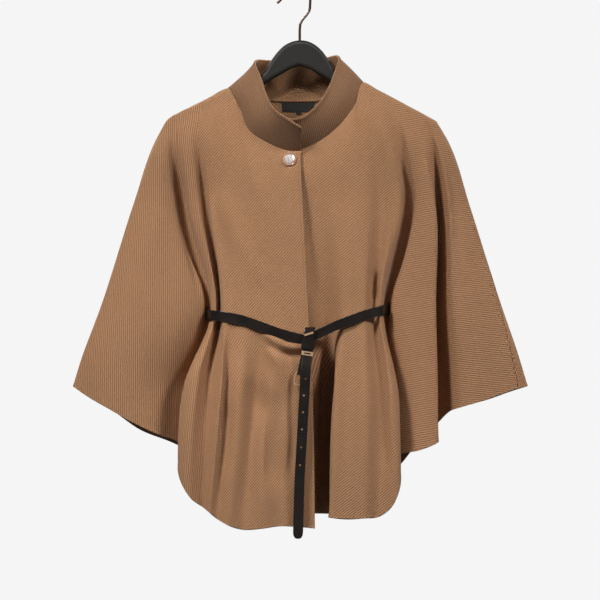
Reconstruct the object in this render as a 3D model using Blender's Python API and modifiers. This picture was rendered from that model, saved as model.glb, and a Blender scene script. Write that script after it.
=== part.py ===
# Belted poncho cape on a clothes hanger.
# Metres, +Z up. The front faces -Y. The origin is the inner top of the hook, where a rail holds it.
# The tables are in millimetres: across is +X, down is below the origin and out is towards the front.
# Left and right are as seen from the front.

import math

import bmesh
import bpy
from mathutils import Matrix, Vector
from mathutils.bvhtree import BVHTree

MM = 0.001

# Cloth and leather thicknesses and the gap left between neighbouring pieces
CLOTH = 2.5
COLLAR_CLOTH = 4.0
LEATHER = 2.5
GAP = 0.3
COLLAR_GAP = 0.5

# Belt, button and fittings
BELT_WIDTH = 15.4
BELT_CLEARANCE = 0.9
STRAP_SAMPLES = 12
BUTTON_AT = (-10.1, 274.2)
BUTTON_RADIUS = 10.3
BUTTON_LIFT = 0.9
WIRE = 1.8

# Hanger: wire of the hook, thickness of the arms and how far they lie under the shoulder line
HOOK_WIRE = 4.0
HOOK_RADIUS = 22.5
ARM_THICKNESS = 11.5
ARM_EDGE = 5.5
ARM_BELOW_SHOULDER = 6.2

# The front sizes were taken square on from this far away, at this height below the origin,
# so a point nearer than the hanger is drawn in by its depth
SIGHT_DISTANCE = 4000.0
SIGHT_ACROSS = 6.2
SIGHT_DOWN = 490.1

# The six stations down each fold line are top, yoke, chest, waist, hip and hem
STEPS_DOWN = (3, 4, 5, 5, 4)
WAIST_LEVEL = sum(STEPS_DOWN[:3])

# Fold lines of the left front, from its front edge round to the outer seam of the left wing:
# name, steps to the next line, across, down and out at the six stations
FRONT_LEFT = (
    ("front edge", 2, (8, 8, 11.5, 21.5, 26, 29.5),
     (258.5, 278, 343, 551, 645, 844.5), (34, 39, 45, 53.5, 60, 62)),
    ("button line", 2, (-11, -10, -6, 5.5, 3, 0),
     (258, 277, 343, 547.5, 645, 842), (34, 39, 44.5, 53, 61, 65)),
    ("breast", 2, (-43, -42, -26, -9, -14, -23),
     (246, 266, 343, 544, 645, 841), (32, 37, 43, 53, 58, 66)),
    ("ridge 1", 2, (-71, -73, -51, -26, -43, -53),
     (228, 253, 343, 540, 645, 845), (27, 34, 44, 54, 68, 74)),
    ("hollow 1", 2, (-88, -87, -82, -53, -65, -82),
     (189.5, 219, 343, 530.5, 653, 846.5), (16, 26, 37, 50, 54, 68)),
    ("ridge 2", 2, (-106, -108, -107, -79, -90, -105),
     (161.5, 186, 343, 521, 645, 840), (0, 16, 34, 52, 68, 76)),
    ("hollow 2", 1, (-119, -125.5, -127, -99, -111, -122.5),
     (168.5, 192.5, 343, 517, 645, 829.5), (0, 16, 26, 47, 58, 68)),
    ("body ridge", 2, (-132, -138, -134, -111, -115, -135),
     (174.5, 198.5, 340, 515, 602, 819.5), (0, 16, 27, 46, 66, 74)),
    ("gather", 2, (-142.5, -149, -141, -118.5, -133, -147),
     (180, 203.5, 336.5, 514, 598.5, 810), (0, 15, 11, 14, 40, 60)),
    ("band ridge", 2, (-155, -161, -150.5, -126.5, -152, -163),
     (186.5, 209.5, 340, 513.5, 606.5, 798), (0, 15, 24, 36, 60, 66)),
    ("panel side", 2, (-167.5, -173.5, -165, -131.5, -173.5, -183.5),
     (192.5, 216, 343, 512.5, 622, 749), (0, 14, 19, 26, 46, 48)),
    ("slit right", 1, (-177.5, -183, -170.5, -134.5, -163, -166),
     (197, 220.5, 346, 512.5, 626.5, 726), (0, 12, 1, 5, 12, 14)),
    ("slit left", 1, (-184.5, -190, -176.5, -141, -170.5, -174),
     (201, 223.5, 346, 511, 626, 716.5), (0, 11, 0, 4, 0, 0)),
    ("wing start", 2, (-190, -196, -184, -141.5, -184, -187),
     (203.5, 226.5, 344.5, 510.5, 629.5, 708), (0, 12, 13, 16, 6, 8)),
    ("wing 1", 2, (-194.5, -201.5, -198.5, -158, -211, -214),
     (206.5, 229.5, 344.5, 507, 632.5, 698.5), (0, 12, 20, 27, 23, 26)),
    ("wing 2", 2, (-198.5, -206, -214, -201.5, -249.5, -252.5),
     (209.5, 233, 344.5, 505.5, 626.5, 680.5), (0, 11, 22, 34, 32, 34)),
    ("wing 3", 2, (-201, -210, -231, -249.5, -288.5, -291.5),
     (212.5, 235, 344.5, 504, 614, 658.5), (0, 9, 16, 29, 27, 28)),
    ("wing 4", 2, (-203, -213.5, -245, -285, -321, -324),
     (215.5, 237, 344.5, 504, 598.5, 639.5), (0, 6, 8, 15, 13, 14)),
)
LEFT_SEAM = (
    ("left seam", 2, (-204, -215.5, -252.5, -304, -333.5, -346),
     (218, 238.5, 343, 504, 583, 624), (0, 0, 0, 0, 0, 0)),
)
BACK = (
    ("back wing 1", 2, (-203, -212.5, -243.5, -288.5, -316, -319),
     (215.5, 238, 344.5, 504, 598.5, 642.5), (0, -6, -11, -12, -13, -14)),
    ("back wing 2", 2, (-200, -208.5, -223, -257.5, -282, -285),
     (211, 234.5, 344.5, 504, 617, 661.5), (0, -10, -24, -28, -30, -34)),
    ("back ridge 1", 2, (-194, -201.5, -200, -218.5, -238.5, -242),
     (206.5, 229.5, 344.5, 505.5, 637.5, 691), (0, -12, -34, -44, -52, -54)),
    ("back hollow 1", 2, (-183, -189, -175, -180, -192, -192),
     (200.5, 223.5, 344.5, 507, 653, 711), (0, -13, -34, -36, -38, -40)),
    ("back ridge 2", 2, (-163, -167.5, -144, -141, -145.5, -147),
     (190, 212.5, 344.5, 508.5, 660.5, 736), (0, -14, -44, -56, -66, -68)),
    ("back hollow 2", 2, (-139.5, -142.5, -114.5, -105.5, -102.5, -102.5),
     (178.5, 201, 344.5, 510.5, 668.5, 766), (0, -15, -44, -48, -50, -52)),
    ("back neck left", 2, (-106, -105.5, -82, -68, -62, -60.5),
     (161.5, 186, 344.5, 512, 676, 788.5), (0, -17, -54, -66, -78, -80)),
    ("back hollow 3", 2, (-87, -82, -51, -32.5, -25, -23),
     (171.5, 195.5, 344.5, 513.5, 682.5, 802.5), (-22, -30, -54, -58, -60, -60)),
    ("back ridge 3", 2, (-48, -45, -21.5, 0, 6, 8),
     (180, 199.5, 344.5, 513.5, 685.5, 809.5), (-36, -41, -60, -70, -80, -82)),
    ("back centre", 2, (3, 3, 11, 34, 40, 42),
     (182.5, 200.5, 344.5, 513.5, 684, 808), (-40, -44, -58, -60, -60, -60)),
    ("back ridge 4", 2, (54, 52.5, 43.5, 68, 76, 77.5),
     (178.5, 198, 344.5, 512.5, 677.5, 801), (-36, -41, -60, -70, -80, -82)),
    ("back hollow 4", 2, (87, 83.5, 76, 104, 114.5, 116),
     (164.5, 189.5, 344.5, 511, 668.5, 784), (-20, -30, -54, -56, -56, -58)),
    ("back neck right", 2, (104.5, 105.5, 110, 141, 152, 153.5),
     (152, 178.5, 344.5, 509.5, 657.5, 754.5), (0, -17, -56, -66, -74, -76)),
    ("back hollow 5", 2, (127, 133.5, 142.5, 173.5, 184.5, 186),
     (164, 188, 344.5, 507, 642, 715), (0, -15, -46, -50, -52, -52)),
    ("back ridge 5", 2, (152, 159.5, 173.5, 207.5, 220, 223),
     (177, 201, 344.5, 504, 626.5, 667), (0, -14, -46, -56, -62, -64)),
    ("back wing 3", 2, (175, 184.5, 203, 242, 257.5, 262),
     (189.5, 212.5, 344.5, 501.5, 615.5, 654.5), (0, -13, -34, -36, -38, -38)),
    ("back wing 4", 2, (194, 204.5, 229.5, 273, 294.5, 300.5),
     (199.5, 222.5, 344.5, 499.5, 605, 643.5), (0, -11, -32, -40, -44, -44)),
    ("back wing 5", 2, (207.5, 219.5, 251, 297.5, 324, 331.5),
     (207, 230.5, 344.5, 498, 595.5, 632.5), (0, -8, -20, -22, -24, -24)),
    ("back turn", 2, (214, 230, 266, 317.5, 347.5, 359),
     (210.5, 236.5, 343, 495, 584.5, 623.5), (0, -4, -7, -6, -3, 0)),
)
RIGHT_SEAM = (
    ("right seam", 2, (217, 234.5, 269.5, 314, 337, 345),
     (212.5, 241.5, 344.5, 494, 585.5, 627), (0, 0, 1, 4, 9, 11)),
)
# Fold lines of the right front, from the outer seam of the right wing to its hidden front edge
FRONT_RIGHT = (
    ("wing 5", 2, (214.5, 231, 257.5, 291.5, 314.5, 321),
     (211, 240, 344.5, 493, 592.5, 635), (0, 6, 9, 15, 17, 18)),
    ("wing 6", 2, (211, 225, 242, 262, 282, 286.5),
     (209, 236.5, 344.5, 494.5, 605, 647.5), (0, 9, 16, 27, 28, 28)),
    ("wing 7", 2, (206, 218.5, 238, 243, 252.5, 255.5),
     (206.5, 233.5, 344.5, 495.5, 617, 656.5), (0, 11, 22, 27, 25, 26)),
    ("wing start", 2, (200.5, 213, 231, 231, 236.5, 238.5),
     (203.5, 230.5, 344.5, 496.5, 628, 662), (0, 12, 16, 12, 6, 6)),
    ("side valley", 2, (194.5, 206, 222.5, 217, 214, 217),
     (200.5, 226.5, 344.5, 498, 637.5, 684), (0, 10, -9, -20, -22, -20)),
    ("side return", 2, (187.5, 198.5, 215, 210, 206, 209),
     (196.5, 222, 344.5, 499.5, 642, 702.5), (0, 12, 8, 6, 8, 10)),
    ("side ridge", 2, (178.5, 187.5, 216, 217, 220, 221),
     (192, 216.5, 344.5, 498, 645, 710), (0, 13, 26, 32, 32, 34)),
    ("side panel", 2, (167.5, 173.5, 194, 183, 190.5, 190.5),
     (185.5, 209.5, 344.5, 500, 648.5, 723.5), (0, 14, 30, 34, 36, 38)),
    ("side start", 2, (158, 163, 182, 146.5, 161.5, 166),
     (181, 204, 344.5, 502.5, 651.5, 727.5), (0, 14, 26, 22, 24, 27)),
    ("slit right", 1, (150.5, 155, 176.5, 145.5, 142.5, 144),
     (177, 200, 344.5, 503.5, 650, 733.5), (0, 13, 8, 6, 8, 10)),
    ("slit left", 2, (142.5, 146.5, 171, 139, 149, 150.5),
     (173, 195.5, 344.5, 504, 653, 743), (0, 13, 8, 6, 24, 26)),
    ("panel side", 2, (133.5, 136.5, 162.5, 135, 159, 162),
     (168.5, 191.5, 344.5, 503, 637.5, 760), (0, 15, 28, 30, 48, 50)),
    ("ridge 3", 1, (123, 126.5, 149, 129.5, 147.5, 147.5),
     (162.5, 186.5, 344.5, 505.5, 639, 812.5), (0, 16, 31, 42, 60, 64)),
    ("hollow 3", 2, (114, 116.5, 132.5, 121.5, 132, 128.5),
     (157, 181.5, 344.5, 508.5, 640.5, 826.5), (0, 16, 25, 32, 50, 58)),
    ("ridge 4", 2, (104.5, 105.5, 110, 105.5, 107, 105.5),
     (152, 177, 344.5, 515.5, 642, 829), (0, 16, 38, 50, 66, 72)),
    ("hollow 4", 2, (90, 88.5, 82, 88.5, 82, 79),
     (188.5, 212.5, 344.5, 522.5, 642, 830.5), (15, 24, 36, 49, 60, 66)),
    ("ridge 5", 2, (68, 65, 60.5, 74.5, 55, 49),
     (217.5, 240.5, 344.5, 528, 642, 827.5), (22, 30, 39, 50, 62, 64)),
    ("recess", 2, (40.5, 37, 34, 49.5, 62, 56),
     (240, 260.5, 344.5, 538, 642, 822), (26.5, 32.5, 35, 24, 4, 2)),
    ("underlap", 2, (12.5, 11, 12.5, 25, 25, 25),
     (254, 273, 344.5, 547.5, 645, 821), (28, 32, 38, 40, 24, 24)),
    ("hidden edge", 0, (-14, -14, -12.5, -3, 0, 1.5),
     (257.5, 276, 344.5, 549, 646.5, 820.5), (28, 32.5, 37, 44, 38, 40)),
)

# Collar, at each fold line that ends at the neck: across, down and out half way up and at the top
COLLAR_FRONT_LEFT = (
    ("front edge", (7.5, 240.5, 51), (8, 222.5, 69)),
    ("button line", (-12.5, 233.5, 51), (-12.5, 209.5, 69)),
    ("breast", (-40, 222, 49), (-32.5, 195, 64)),
    ("ridge 1", (-64.5, 202.5, 40), (-44, 175.5, 46)),
    ("hollow 1", (-77.5, 171, 26), (-52, 149, 25)),
    ("ridge 2", (-82, 141, 1), (-60.5, 117.5, -8)),
)
COLLAR_BACK = (
    ("back hollow 3", (-68, 146, -23), (-43.5, 118, -21)),
    ("back ridge 3", (-34, 148.5, -34), (-20, 119, -28)),
    ("back centre", (3, 149, -37.5), (3, 119, -31)),
    ("back ridge 4", (39, 146, -34), (26.5, 116.5, -28)),
    ("back hollow 4", (70, 140, -22), (48, 113.5, -21)),
)
COLLAR_FRONT_RIGHT = (
    ("ridge 4", (85, 131.5, 1), (63, 110.5, -8)),
    ("hollow 4", (77.5, 166, 23), (58, 140, 20)),
    ("ridge 5", (59, 194, 34), (45, 169.5, 38)),
    ("recess", (34, 220.5, 42), (25, 195, 54)),
    ("underlap", (11, 233.5, 43), (8, 206.5, 58.5)),
    ("hidden edge", (-14, 236, 43), (-14, 209, 58.5)),
)
COLLAR_STEPS_UP = (2, 3)

# Belt straps: the middle line across and down, with the depth worked out from the cloth
BELT_LEFT_LINE = ((-131, 513), (-111.6, 515), (-76, 522.5), (-40.3, 536.6), (-14, 543.6), (13.4, 551.4))
BELT_RIGHT_LINE = ((13.9, 551.4), (37.2, 541), (83.7, 520.5), (112, 511), (134, 505))
SLIT_LEFT = (-137.8, 512)
SLIT_RIGHT = (142.3, 503.5)
SLIT_WAY_IN = (-8.0, 2.0, 11.0)

# The stretch that crosses inside the back, from slit to slit: across, down and out of its outer face
BELT_INSIDE_LINE = (
    (-139, 512, -8.6), (-136, 513, -18), (-122, 516, -28), (-96, 520, -34), (-50, 526, -38), (4, 529, -39),
    (60, 526, -39), (104, 519, -36), (127, 511, -28), (140.5, 505.5, -18), (143.5, 503.5, -8.6),
)
# The tail, from behind the top of the knot, over it and down: across, down, out and share of the width
BELT_TAIL_LINE = (
    (22, 533.4, 57.0, 1), (22, 532.2, 60, 1), (21.8, 533.6, 63, 1), (21.3, 538, 65.2, 1),
    (20, 545, 65.8, 1), (18.5, 556, 65.8, 1), (17.8, 570, 66.1, 1), (16.9, 580, 69.2, 1),
    (15.8, 592, 73, 1), (14.8, 604, 74.8, 1),
    (12.6, 645, 75, 1), (9, 710, 74.5, 1), (5.4, 769, 74, 1), (4, 820, 73.5, 1), (3.2, 850, 73.5, 1),
    (3.1, 855.5, 73.5, 0.9), (3.1, 858.8, 73.5, 0.66), (3.1, 860.4, 73.5, 0.3),
)
# The buckle end, behind the tail: along it from the bar, and out, with the fold round the bar worked out
BUCKLE_BAR = (9.4, 604.0, 67.2)
BUCKLE_TILT = math.radians(12)
BUCKLE_END_FRONT = ((54.5, 62.3), (41, 62.2), (29, 61.6), (16, 64.4), (6.5, 69.0))
BUCKLE_END_BACK = ((6, 61.8), (13, 59.4))
BUCKLE_SLOT_SHARE = 0.22
FRAME_WIDTH = 20.4
FRAME_HEIGHT = 18.5
FRAME_CORNER = 3.0
TONGUE_WIRE = 1.4
TONGUE_GAP = 0.4

# Loops that hold the knot: across, down, back and front of the inside, then width, height, wall and tilt
KNOT = (18.7, 557.6, 59.2, 66.5, 17.4, 17.0, 1.2, 7)
KEEPER_LOOP = (17.6, 573.0, 63.0, 68.6, 16.6, 6.2, 0.9, 9)
LOOP_CORNER = 0.9
# The bar across the top of the knot: across, down, out, then width, height, thickness and tilt
KEEPER_BAR = (19.8, 542.6, 66.9, 14.6, 2.8, 1.2, -17)
BAR_EDGE = 0.35

# The button's rim and jewel, turned about the button's middle: radius less the button's, and height
RIM_PROFILE = ((-1.6, 1.6), (-1.5, 3.0), (-0.5, 3.0), (0, 2.2), (0, 0.8), (-1.0, 0.0))
JEWEL_PROFILE = ((0, 4.6), (0.55, 4.4), (0.85, 3.6), (1, 2.6), (1, 1.9), (0, 1.9))
RIM_WALL = 1.6

# The label and the tab, from the back's centre line in steps across and from the neck in steps
# down: left, right, top, bottom, and the thickness in millimetres
LABEL_PLATES = (
    ("neck_label", -1.0, 1.0, 0.24, 2.6, 0.6),
    ("size_tab", -0.12, 0.22, 2.7, 3.06, 0.5),
)

# Hanger: the arch of the arms above the collar, then the seats under the shoulders
HOOK_TIP = ((-29.2, 30.0), (-27.3, 28.5), (-23.4, 24.6))
HOOK_BEND = (180, -10)
HOOK_NECK = (
    (21.6, 37.5), (20.4, 42.4), (15.8, 49.2), (9.6, 56.4), (6.6, 62.6), (5.8, 72.0), (5.8, 84.0),
    (5.8, 104.0),
)
STEM_ACROSS = 5.8
STEM_HOLE = (60.0, 106.0)
ARCH_TOP = (
    (-92, 175.5), (-70, 155), (-48.4, 135.5), (-39.5, 120.5), (-31.6, 109.1), (-19.7, 96.8),
    (-6, 89.6), (6, 87.5), (18, 89.0), (29.8, 94.6), (41.5, 105.0), (51.5, 119.5), (60.4, 134.5),
    (76, 152), (91, 170),
)
ARCH_BOTTOM = ((50.4, 150.7), (28, 136.5), (5, 127.4), (-20, 138.5), (-45.4, 153.6))
SHOULDER_LEFT = ((-106, 161.5), (-190, 203.5))
SHOULDER_RIGHT = ((104.5, 152), (207.5, 207))
# Along each arm from the neck: share of its length, and how far the seat dips there
SEAT = ((0, 10.0), (0.15, 3.0), (0.35, 0), (0.65, 0), (0.97, 0))
ARM_DEPTH = 19.0
# The round end of an arm: beyond the last seat point, and share of the arm's depth
ARM_END = ((4, 0.45), (-4, 0.8))

# Materials: colour, roughness and metallic value
CAMEL = ((0.36, 0.20, 0.09), 0.9, 0.0)
BLACK_LEATHER = ((0.016, 0.009, 0.007), 0.35, 0.0)
GOLD = ((0.75, 0.52, 0.24), 0.25, 1.0)
ROSE_GOLD = ((0.70, 0.42, 0.28), 0.25, 1.0)
CRYSTAL = ((0.80, 0.80, 0.78), 0.08, 0.0)
CHARCOAL = ((0.035, 0.032, 0.028), 0.5, 0.0)
COPPER_BROWN = ((0.10, 0.05, 0.03), 0.35, 1.0)
LABEL_BLACK = ((0.03, 0.027, 0.023), 0.8, 0.0)


def clear_scene():
    for item in list(bpy.data.objects):
        bpy.data.objects.remove(item, do_unlink=True)


def make_collection(name):
    collection = bpy.data.collections.new(name)
    bpy.context.scene.collection.children.link(collection)
    return collection


def make_material(name, finish):
    colour, roughness, metallic = finish
    material = bpy.data.materials.new(name)
    material.use_nodes = True
    shader = material.node_tree.nodes["Principled BSDF"]
    shader.inputs["Base Color"].default_value = (*colour, 1.0)
    shader.inputs["Roughness"].default_value = roughness
    shader.inputs["Metallic"].default_value = metallic
    material.diffuse_color = (*colour, 1.0)
    return material


def add_object(name, data, finish, collection):
    item = bpy.data.objects.new(name, data)
    collection.objects.link(item)
    item.data.materials.append(make_material(name, finish))
    return item


def place(across, down, out):
    # A point as seen from the front, taken back to its true place in metres
    nearer = 1.0 - out / SIGHT_DISTANCE
    x = SIGHT_ACROSS + (across - SIGHT_ACROSS) * nearer
    z = -(SIGHT_DOWN + (down - SIGHT_DOWN) * nearer)
    return Vector((x, -out, z)) * MM


def smooth_line(points, steps, start=None):
    # A smooth curve through the points, with the given number of steps from each to the next
    count = len(points)
    lengths = [max((points[i + 1] - points[i]).length, 1e-6) for i in range(count - 1)]
    slopes = [(points[i + 1] - points[i]) / lengths[i] for i in range(count - 1)]
    tangents = []
    for i in range(1, count - 1):
        before, after = lengths[i - 1], lengths[i]
        tangents.append((slopes[i - 1] * after + slopes[i] * before) / (before + after))
    if count > 2:
        first = slopes[0] * 1.5 - tangents[0] * 0.5
        last = slopes[-1] * 1.5 - tangents[-1] * 0.5
    else:
        first, last = slopes[0], slopes[0]
    tangents = [start if start else first] + tangents + [last]
    line = [points[0].copy()]
    for i in range(count - 1):
        for step in range(1, steps[i] + 1):
            t = step / steps[i]
            point = points[i] * (2 * t**3 - 3 * t**2 + 1)
            point += tangents[i] * lengths[i] * (t**3 - 2 * t**2 + t)
            point += points[i + 1] * (3 * t**2 - 2 * t**3)
            point += tangents[i + 1] * lengths[i] * (t**3 - t**2)
            line.append(point)
    return line


def fold_points(fold):
    across, down, out = fold[2:]
    return [place(*values) for values in zip(across, down, out)]


def on_shoulder(fold):
    return fold[4][0] == 0


def garment_sheet(folds):
    # The whole cloth as one grid of columns, from the left front edge round the back to the right
    lines = []
    for fold in folds:
        side = fold[4][1]
        roll = Vector((0, math.copysign(1, -side), -0.15)) if on_shoulder(fold) and side else None
        lines.append(smooth_line(fold_points(fold), STEPS_DOWN, roll))
    steps = [fold[1] for fold in folds[:-1]]
    levels = [smooth_line(list(level), steps) for level in zip(*lines)]
    return [list(column) for column in zip(*levels)]


def grid_normals(grid):
    normals = []
    last_column, last_row = len(grid) - 1, len(grid[0]) - 1
    for c in range(last_column + 1):
        line = []
        for r in range(last_row + 1):
            along = grid[min(c + 1, last_column)][r] - grid[max(c - 1, 0)][r]
            down = grid[c][min(r + 1, last_row)] - grid[c][max(r - 1, 0)]
            line.append(along.cross(down).normalized())
        normals.append(line)
    return normals


def wall(name, grid, normals, thickness, finish, collection, open_cells=()):
    # A closed wall between a grid of points and the same grid moved in by the thickness
    columns, rows = len(grid), len(grid[0])
    build = bmesh.new()
    outer = [[build.verts.new(p) for p in line] for line in grid]
    inner = []
    for c in range(columns):
        inner.append([build.verts.new(grid[c][r] - normals[c][r] * thickness * MM) for r in range(rows)])
    cells = {(c, r) for c in range(columns - 1) for r in range(rows - 1)} - set(open_cells)
    for c, r in cells:
        around = ((c, r), (c, r + 1), (c + 1, r + 1), (c + 1, r))
        build.faces.new([outer[a][b] for a, b in reversed(around)])
        build.faces.new([inner[a][b] for a, b in around])
        sides = ((0, -1, 3, 0), (0, 1, 1, 2), (-1, 0, 0, 1), (1, 0, 2, 3))
        for dc, dr, first, second in sides:
            if (c + dc, r + dr) not in cells:
                (a, b), (e, f) = around[first], around[second]
                build.faces.new((outer[a][b], outer[e][f], inner[e][f], inner[a][b]))
    loose = [v for v in build.verts if not v.link_faces]
    bmesh.ops.delete(build, geom=loose, context="VERTS")
    bmesh.ops.recalc_face_normals(build, faces=build.faces)
    mesh = bpy.data.meshes.new(name)
    build.to_mesh(mesh)
    build.free()
    mesh.shade_smooth()
    mesh.set_sharp_from_angle(angle=math.radians(50))
    return add_object(name, mesh, finish, collection)


def shoulder_top(grid, normals, folds, starts):
    # Along the shoulder the rim of the wall lies in the seam's plane
    for i, fold in enumerate(folds[:-1]):
        for c in range(starts[i], starts[i + 1] + 1):
            if on_shoulder(fold) and on_shoulder(folds[i + 1]):
                flat = normals[c][1].copy()
                flat.y = 0
                normals[c][0] = flat.normalized()
                grid[c][0].y = 0


def seam_side(grid, column, direction):
    # Half the seam gap, along the cloth and away from the seam
    shifted = []
    for r, point in enumerate(grid[column]):
        along = (grid[column + 1][r] - grid[column - 1][r]).normalized()
        shifted.append(point + along * direction * GAP / 2 * MM)
    return shifted


def cut_panel(grid, normals, first, last, side):
    # One cut piece: its columns, drawn back by half a gap at the seams it shares
    points = [[p.copy() for p in line] for line in grid[first:last + 1]]
    piece_normals = [[n.copy() for n in line] for line in normals[first:last + 1]]
    if first > 0:
        points[0] = seam_side(grid, first, 1)
    if last < len(grid) - 1:
        points[-1] = seam_side(grid, last, -1)
    for line in points:
        if abs(line[0].y) < GAP * MM:
            line[0].y = side * GAP / 2 * MM
    return points, piece_normals


def make_cloth(collection):
    folds = FRONT_LEFT + LEFT_SEAM + BACK + RIGHT_SEAM + FRONT_RIGHT
    starts = [0]
    for fold in folds[:-1]:
        starts.append(starts[-1] + fold[1])
    grid = garment_sheet(folds)
    normals = grid_normals(grid)
    shoulder_top(grid, normals, folds, starts)
    left_seam = starts[len(FRONT_LEFT)]
    right_seam = starts[len(FRONT_LEFT) + 1 + len(BACK)]
    left_slit = starts[[fold[0] for fold in FRONT_LEFT].index("slit right")]
    right_index = len(folds) - len(FRONT_RIGHT) + [fold[0] for fold in FRONT_RIGHT].index("slit right")
    right_slit = starts[right_index] - right_seam
    slit_rows = (WAIST_LEVEL - 1, WAIST_LEVEL)
    pieces = {}
    cuts = (
        ("front_left", 0, left_seam, -1, [(left_slit, r) for r in slit_rows]),
        ("back", left_seam, right_seam, 1, []),
        ("front_right", right_seam, len(grid) - 1, -1, [(right_slit, r) for r in slit_rows]),
    )
    for name, first, last, side, holes in cuts:
        points, piece_normals = cut_panel(grid, normals, first, last, side)
        wall(name, points, piece_normals, CLOTH, CAMEL, collection, holes)
        pieces[name] = points
    make_collar(grid, folds, starts, collection)
    return grid, normals, folds, starts, pieces


def make_collar(grid, folds, starts, collection):
    # The bottom follows the neck seam, so its columns are the garment's own
    names = [fold[0] for fold in folds]
    back_start = len(FRONT_LEFT) + 1
    right_start = back_start + len(BACK) + 1
    spans = (
        (0, COLLAR_FRONT_LEFT),
        (back_start, COLLAR_BACK),
        (right_start, COLLAR_FRONT_RIGHT),
    )
    rulings = []
    for offset, table in spans:
        for name, middle, top in table:
            index = offset + names[offset:].index(name)
            seam = grid[starts[index]][0]
            rulings.append((index, [seam, place(*middle), place(*top)]))
    steps = [2] * (len(rulings) - 1)
    lines = [smooth_line(ruling[1], COLLAR_STEPS_UP) for ruling in rulings]
    levels = [smooth_line(list(level), steps) for level in zip(*lines)]
    collar = [list(column) for column in zip(*levels)]
    for column, seam in zip(collar, neck_seam(grid, rulings, starts, steps)):
        rise = (column[1] - seam).normalized()
        column[0] = seam + rise * COLLAR_GAP * MM
    collar = [list(reversed(column)) for column in collar]
    collar_normals = grid_normals(collar)
    wall("collar", collar, collar_normals, COLLAR_CLOTH, CAMEL, collection)


def neck_seam(grid, rulings, starts, steps):
    # The garment's top points from one ruling to the next, stepping over the shoulders
    columns = []
    for ruling, ahead, count in zip(rulings, rulings[1:], steps):
        index, following = ruling[0], ahead[0]
        here, there = starts[index], starts[following]
        for step in range(count):
            if following - index == 1 or step == 0:
                columns.append(here + step * (there - here) // count)
            else:
                columns.append(shoulder_corner(grid, starts, index, following))
    columns.append(starts[rulings[-1][0]])
    return [grid[c][0] for c in columns]


def shoulder_corner(grid, starts, index, following):
    # Half way from the neck point to the next neck line at the back
    left = grid[starts[index]][0].x < 0
    return starts[following] - 1 if left else starts[index] + 1


def front_surface(points):
    # The cloth's outer points as triangles, for finding how far out it lies
    vertices = [p for line in points for p in line]
    rows = len(points[0])
    faces = []
    for c in range(len(points) - 1):
        for r in range(rows - 1):
            faces.append((c * rows + r, c * rows + r + 1, (c + 1) * rows + r + 1, (c + 1) * rows + r))
    return BVHTree.FromPolygons(vertices, faces)


def depth_at(trees, x, z):
    depths = []
    for tree in trees:
        hit = tree.ray_cast(Vector((x, -1, z)), Vector((0, 1, 0)))[0]
        if hit:
            depths.append(hit.y)
    return min(depths) if depths else 0


def taut(line):
    # Bridges the hollows: only the points that a stretched strap would touch are kept
    kept = []
    for point in line:
        while len(kept) > 1:
            a, b = kept[-2], kept[-1]
            bend = (b[0] - a[0]) * (point[1] - a[1]) - (b[1] - a[1]) * (point[0] - a[0])
            if bend > 0:
                break
            kept.pop()
        kept.append(point)
    return kept


def strap_line(trees, route, slit, side):
    # The strap's outer face, stretched over the cloth and then in through the slit
    flat = smooth_line([flat_point(*p) for p in route], [STRAP_SAMPLES] * (len(route) - 1))
    samples = []
    for p in flat:
        heights = (-BELT_WIDTH / 2, -BELT_WIDTH / 4, 0, BELT_WIDTH / 4, BELT_WIDTH / 2)
        samples.append((p.x, min(depth_at(trees, p.x, p.z + h * MM) for h in heights), p.z))
    line = [Vector(p) for p in taut(samples)]
    hole = slit[0] + side * (LEATHER / 2 + BELT_CLEARANCE)
    inside = [Vector((hole, -out, -slit[1])) * MM for out in SLIT_WAY_IN]
    line = line + list(reversed(inside)) if side < 0 else inside + line
    line = list(reversed(line))
    outer = []
    for i, point in enumerate(line):
        along = line[min(i + 1, len(line) - 1)] - line[max(i - 1, 0)]
        facing = along.cross(Vector((0, 0, -1))).normalized()
        outer.append(point + facing * (LEATHER + BELT_CLEARANCE) * MM)
    return smooth_line(outer, [2] * (len(outer) - 1))


def strip(name, line, halves, finish, collection, shares=(1, 0, -1), open_cells=()):
    # A flat band along a line: each half is the vector from the middle to the first edge
    grid = [[p + half * share for share in shares] for p, half in zip(line, halves)]
    wall(name, grid, grid_normals(grid), LEATHER, finish, collection, open_cells)


def make_label(normals, grid, starts, collection):
    # On the inside of the back, just under the neck seam
    centre = starts[len(FRONT_LEFT) + 1 + [fold[0] for fold in BACK].index("back centre")]
    for name, left, right, top, bottom, thickness in LABEL_PLATES:
        points, inward = [], []
        for c in (left, (left + right) / 2, right):
            line, facing = [], []
            for r in (top, (top + bottom) / 2, bottom):
                point, normal = between(grid, normals, centre + c, r)
                line.append(point - normal * (CLOTH + GAP) * MM)
                facing.append(normal)
            points.append(line)
            inward.append(facing)
        wall(name, points, inward, thickness, LABEL_BLACK, collection)


def between(grid, normals, c, r):
    # A point and normal part of the way between the grid's own
    a, b = math.floor(c), math.floor(r)
    s, t = c - a, r - b
    point = grid[a][b].lerp(grid[a + 1][b], s).lerp(grid[a][b + 1].lerp(grid[a + 1][b + 1], s), t)
    top = normals[a][b].lerp(normals[a + 1][b], s)
    bottom = normals[a][b + 1].lerp(normals[a + 1][b + 1], s)
    return point, top.lerp(bottom, t).normalized()


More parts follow.
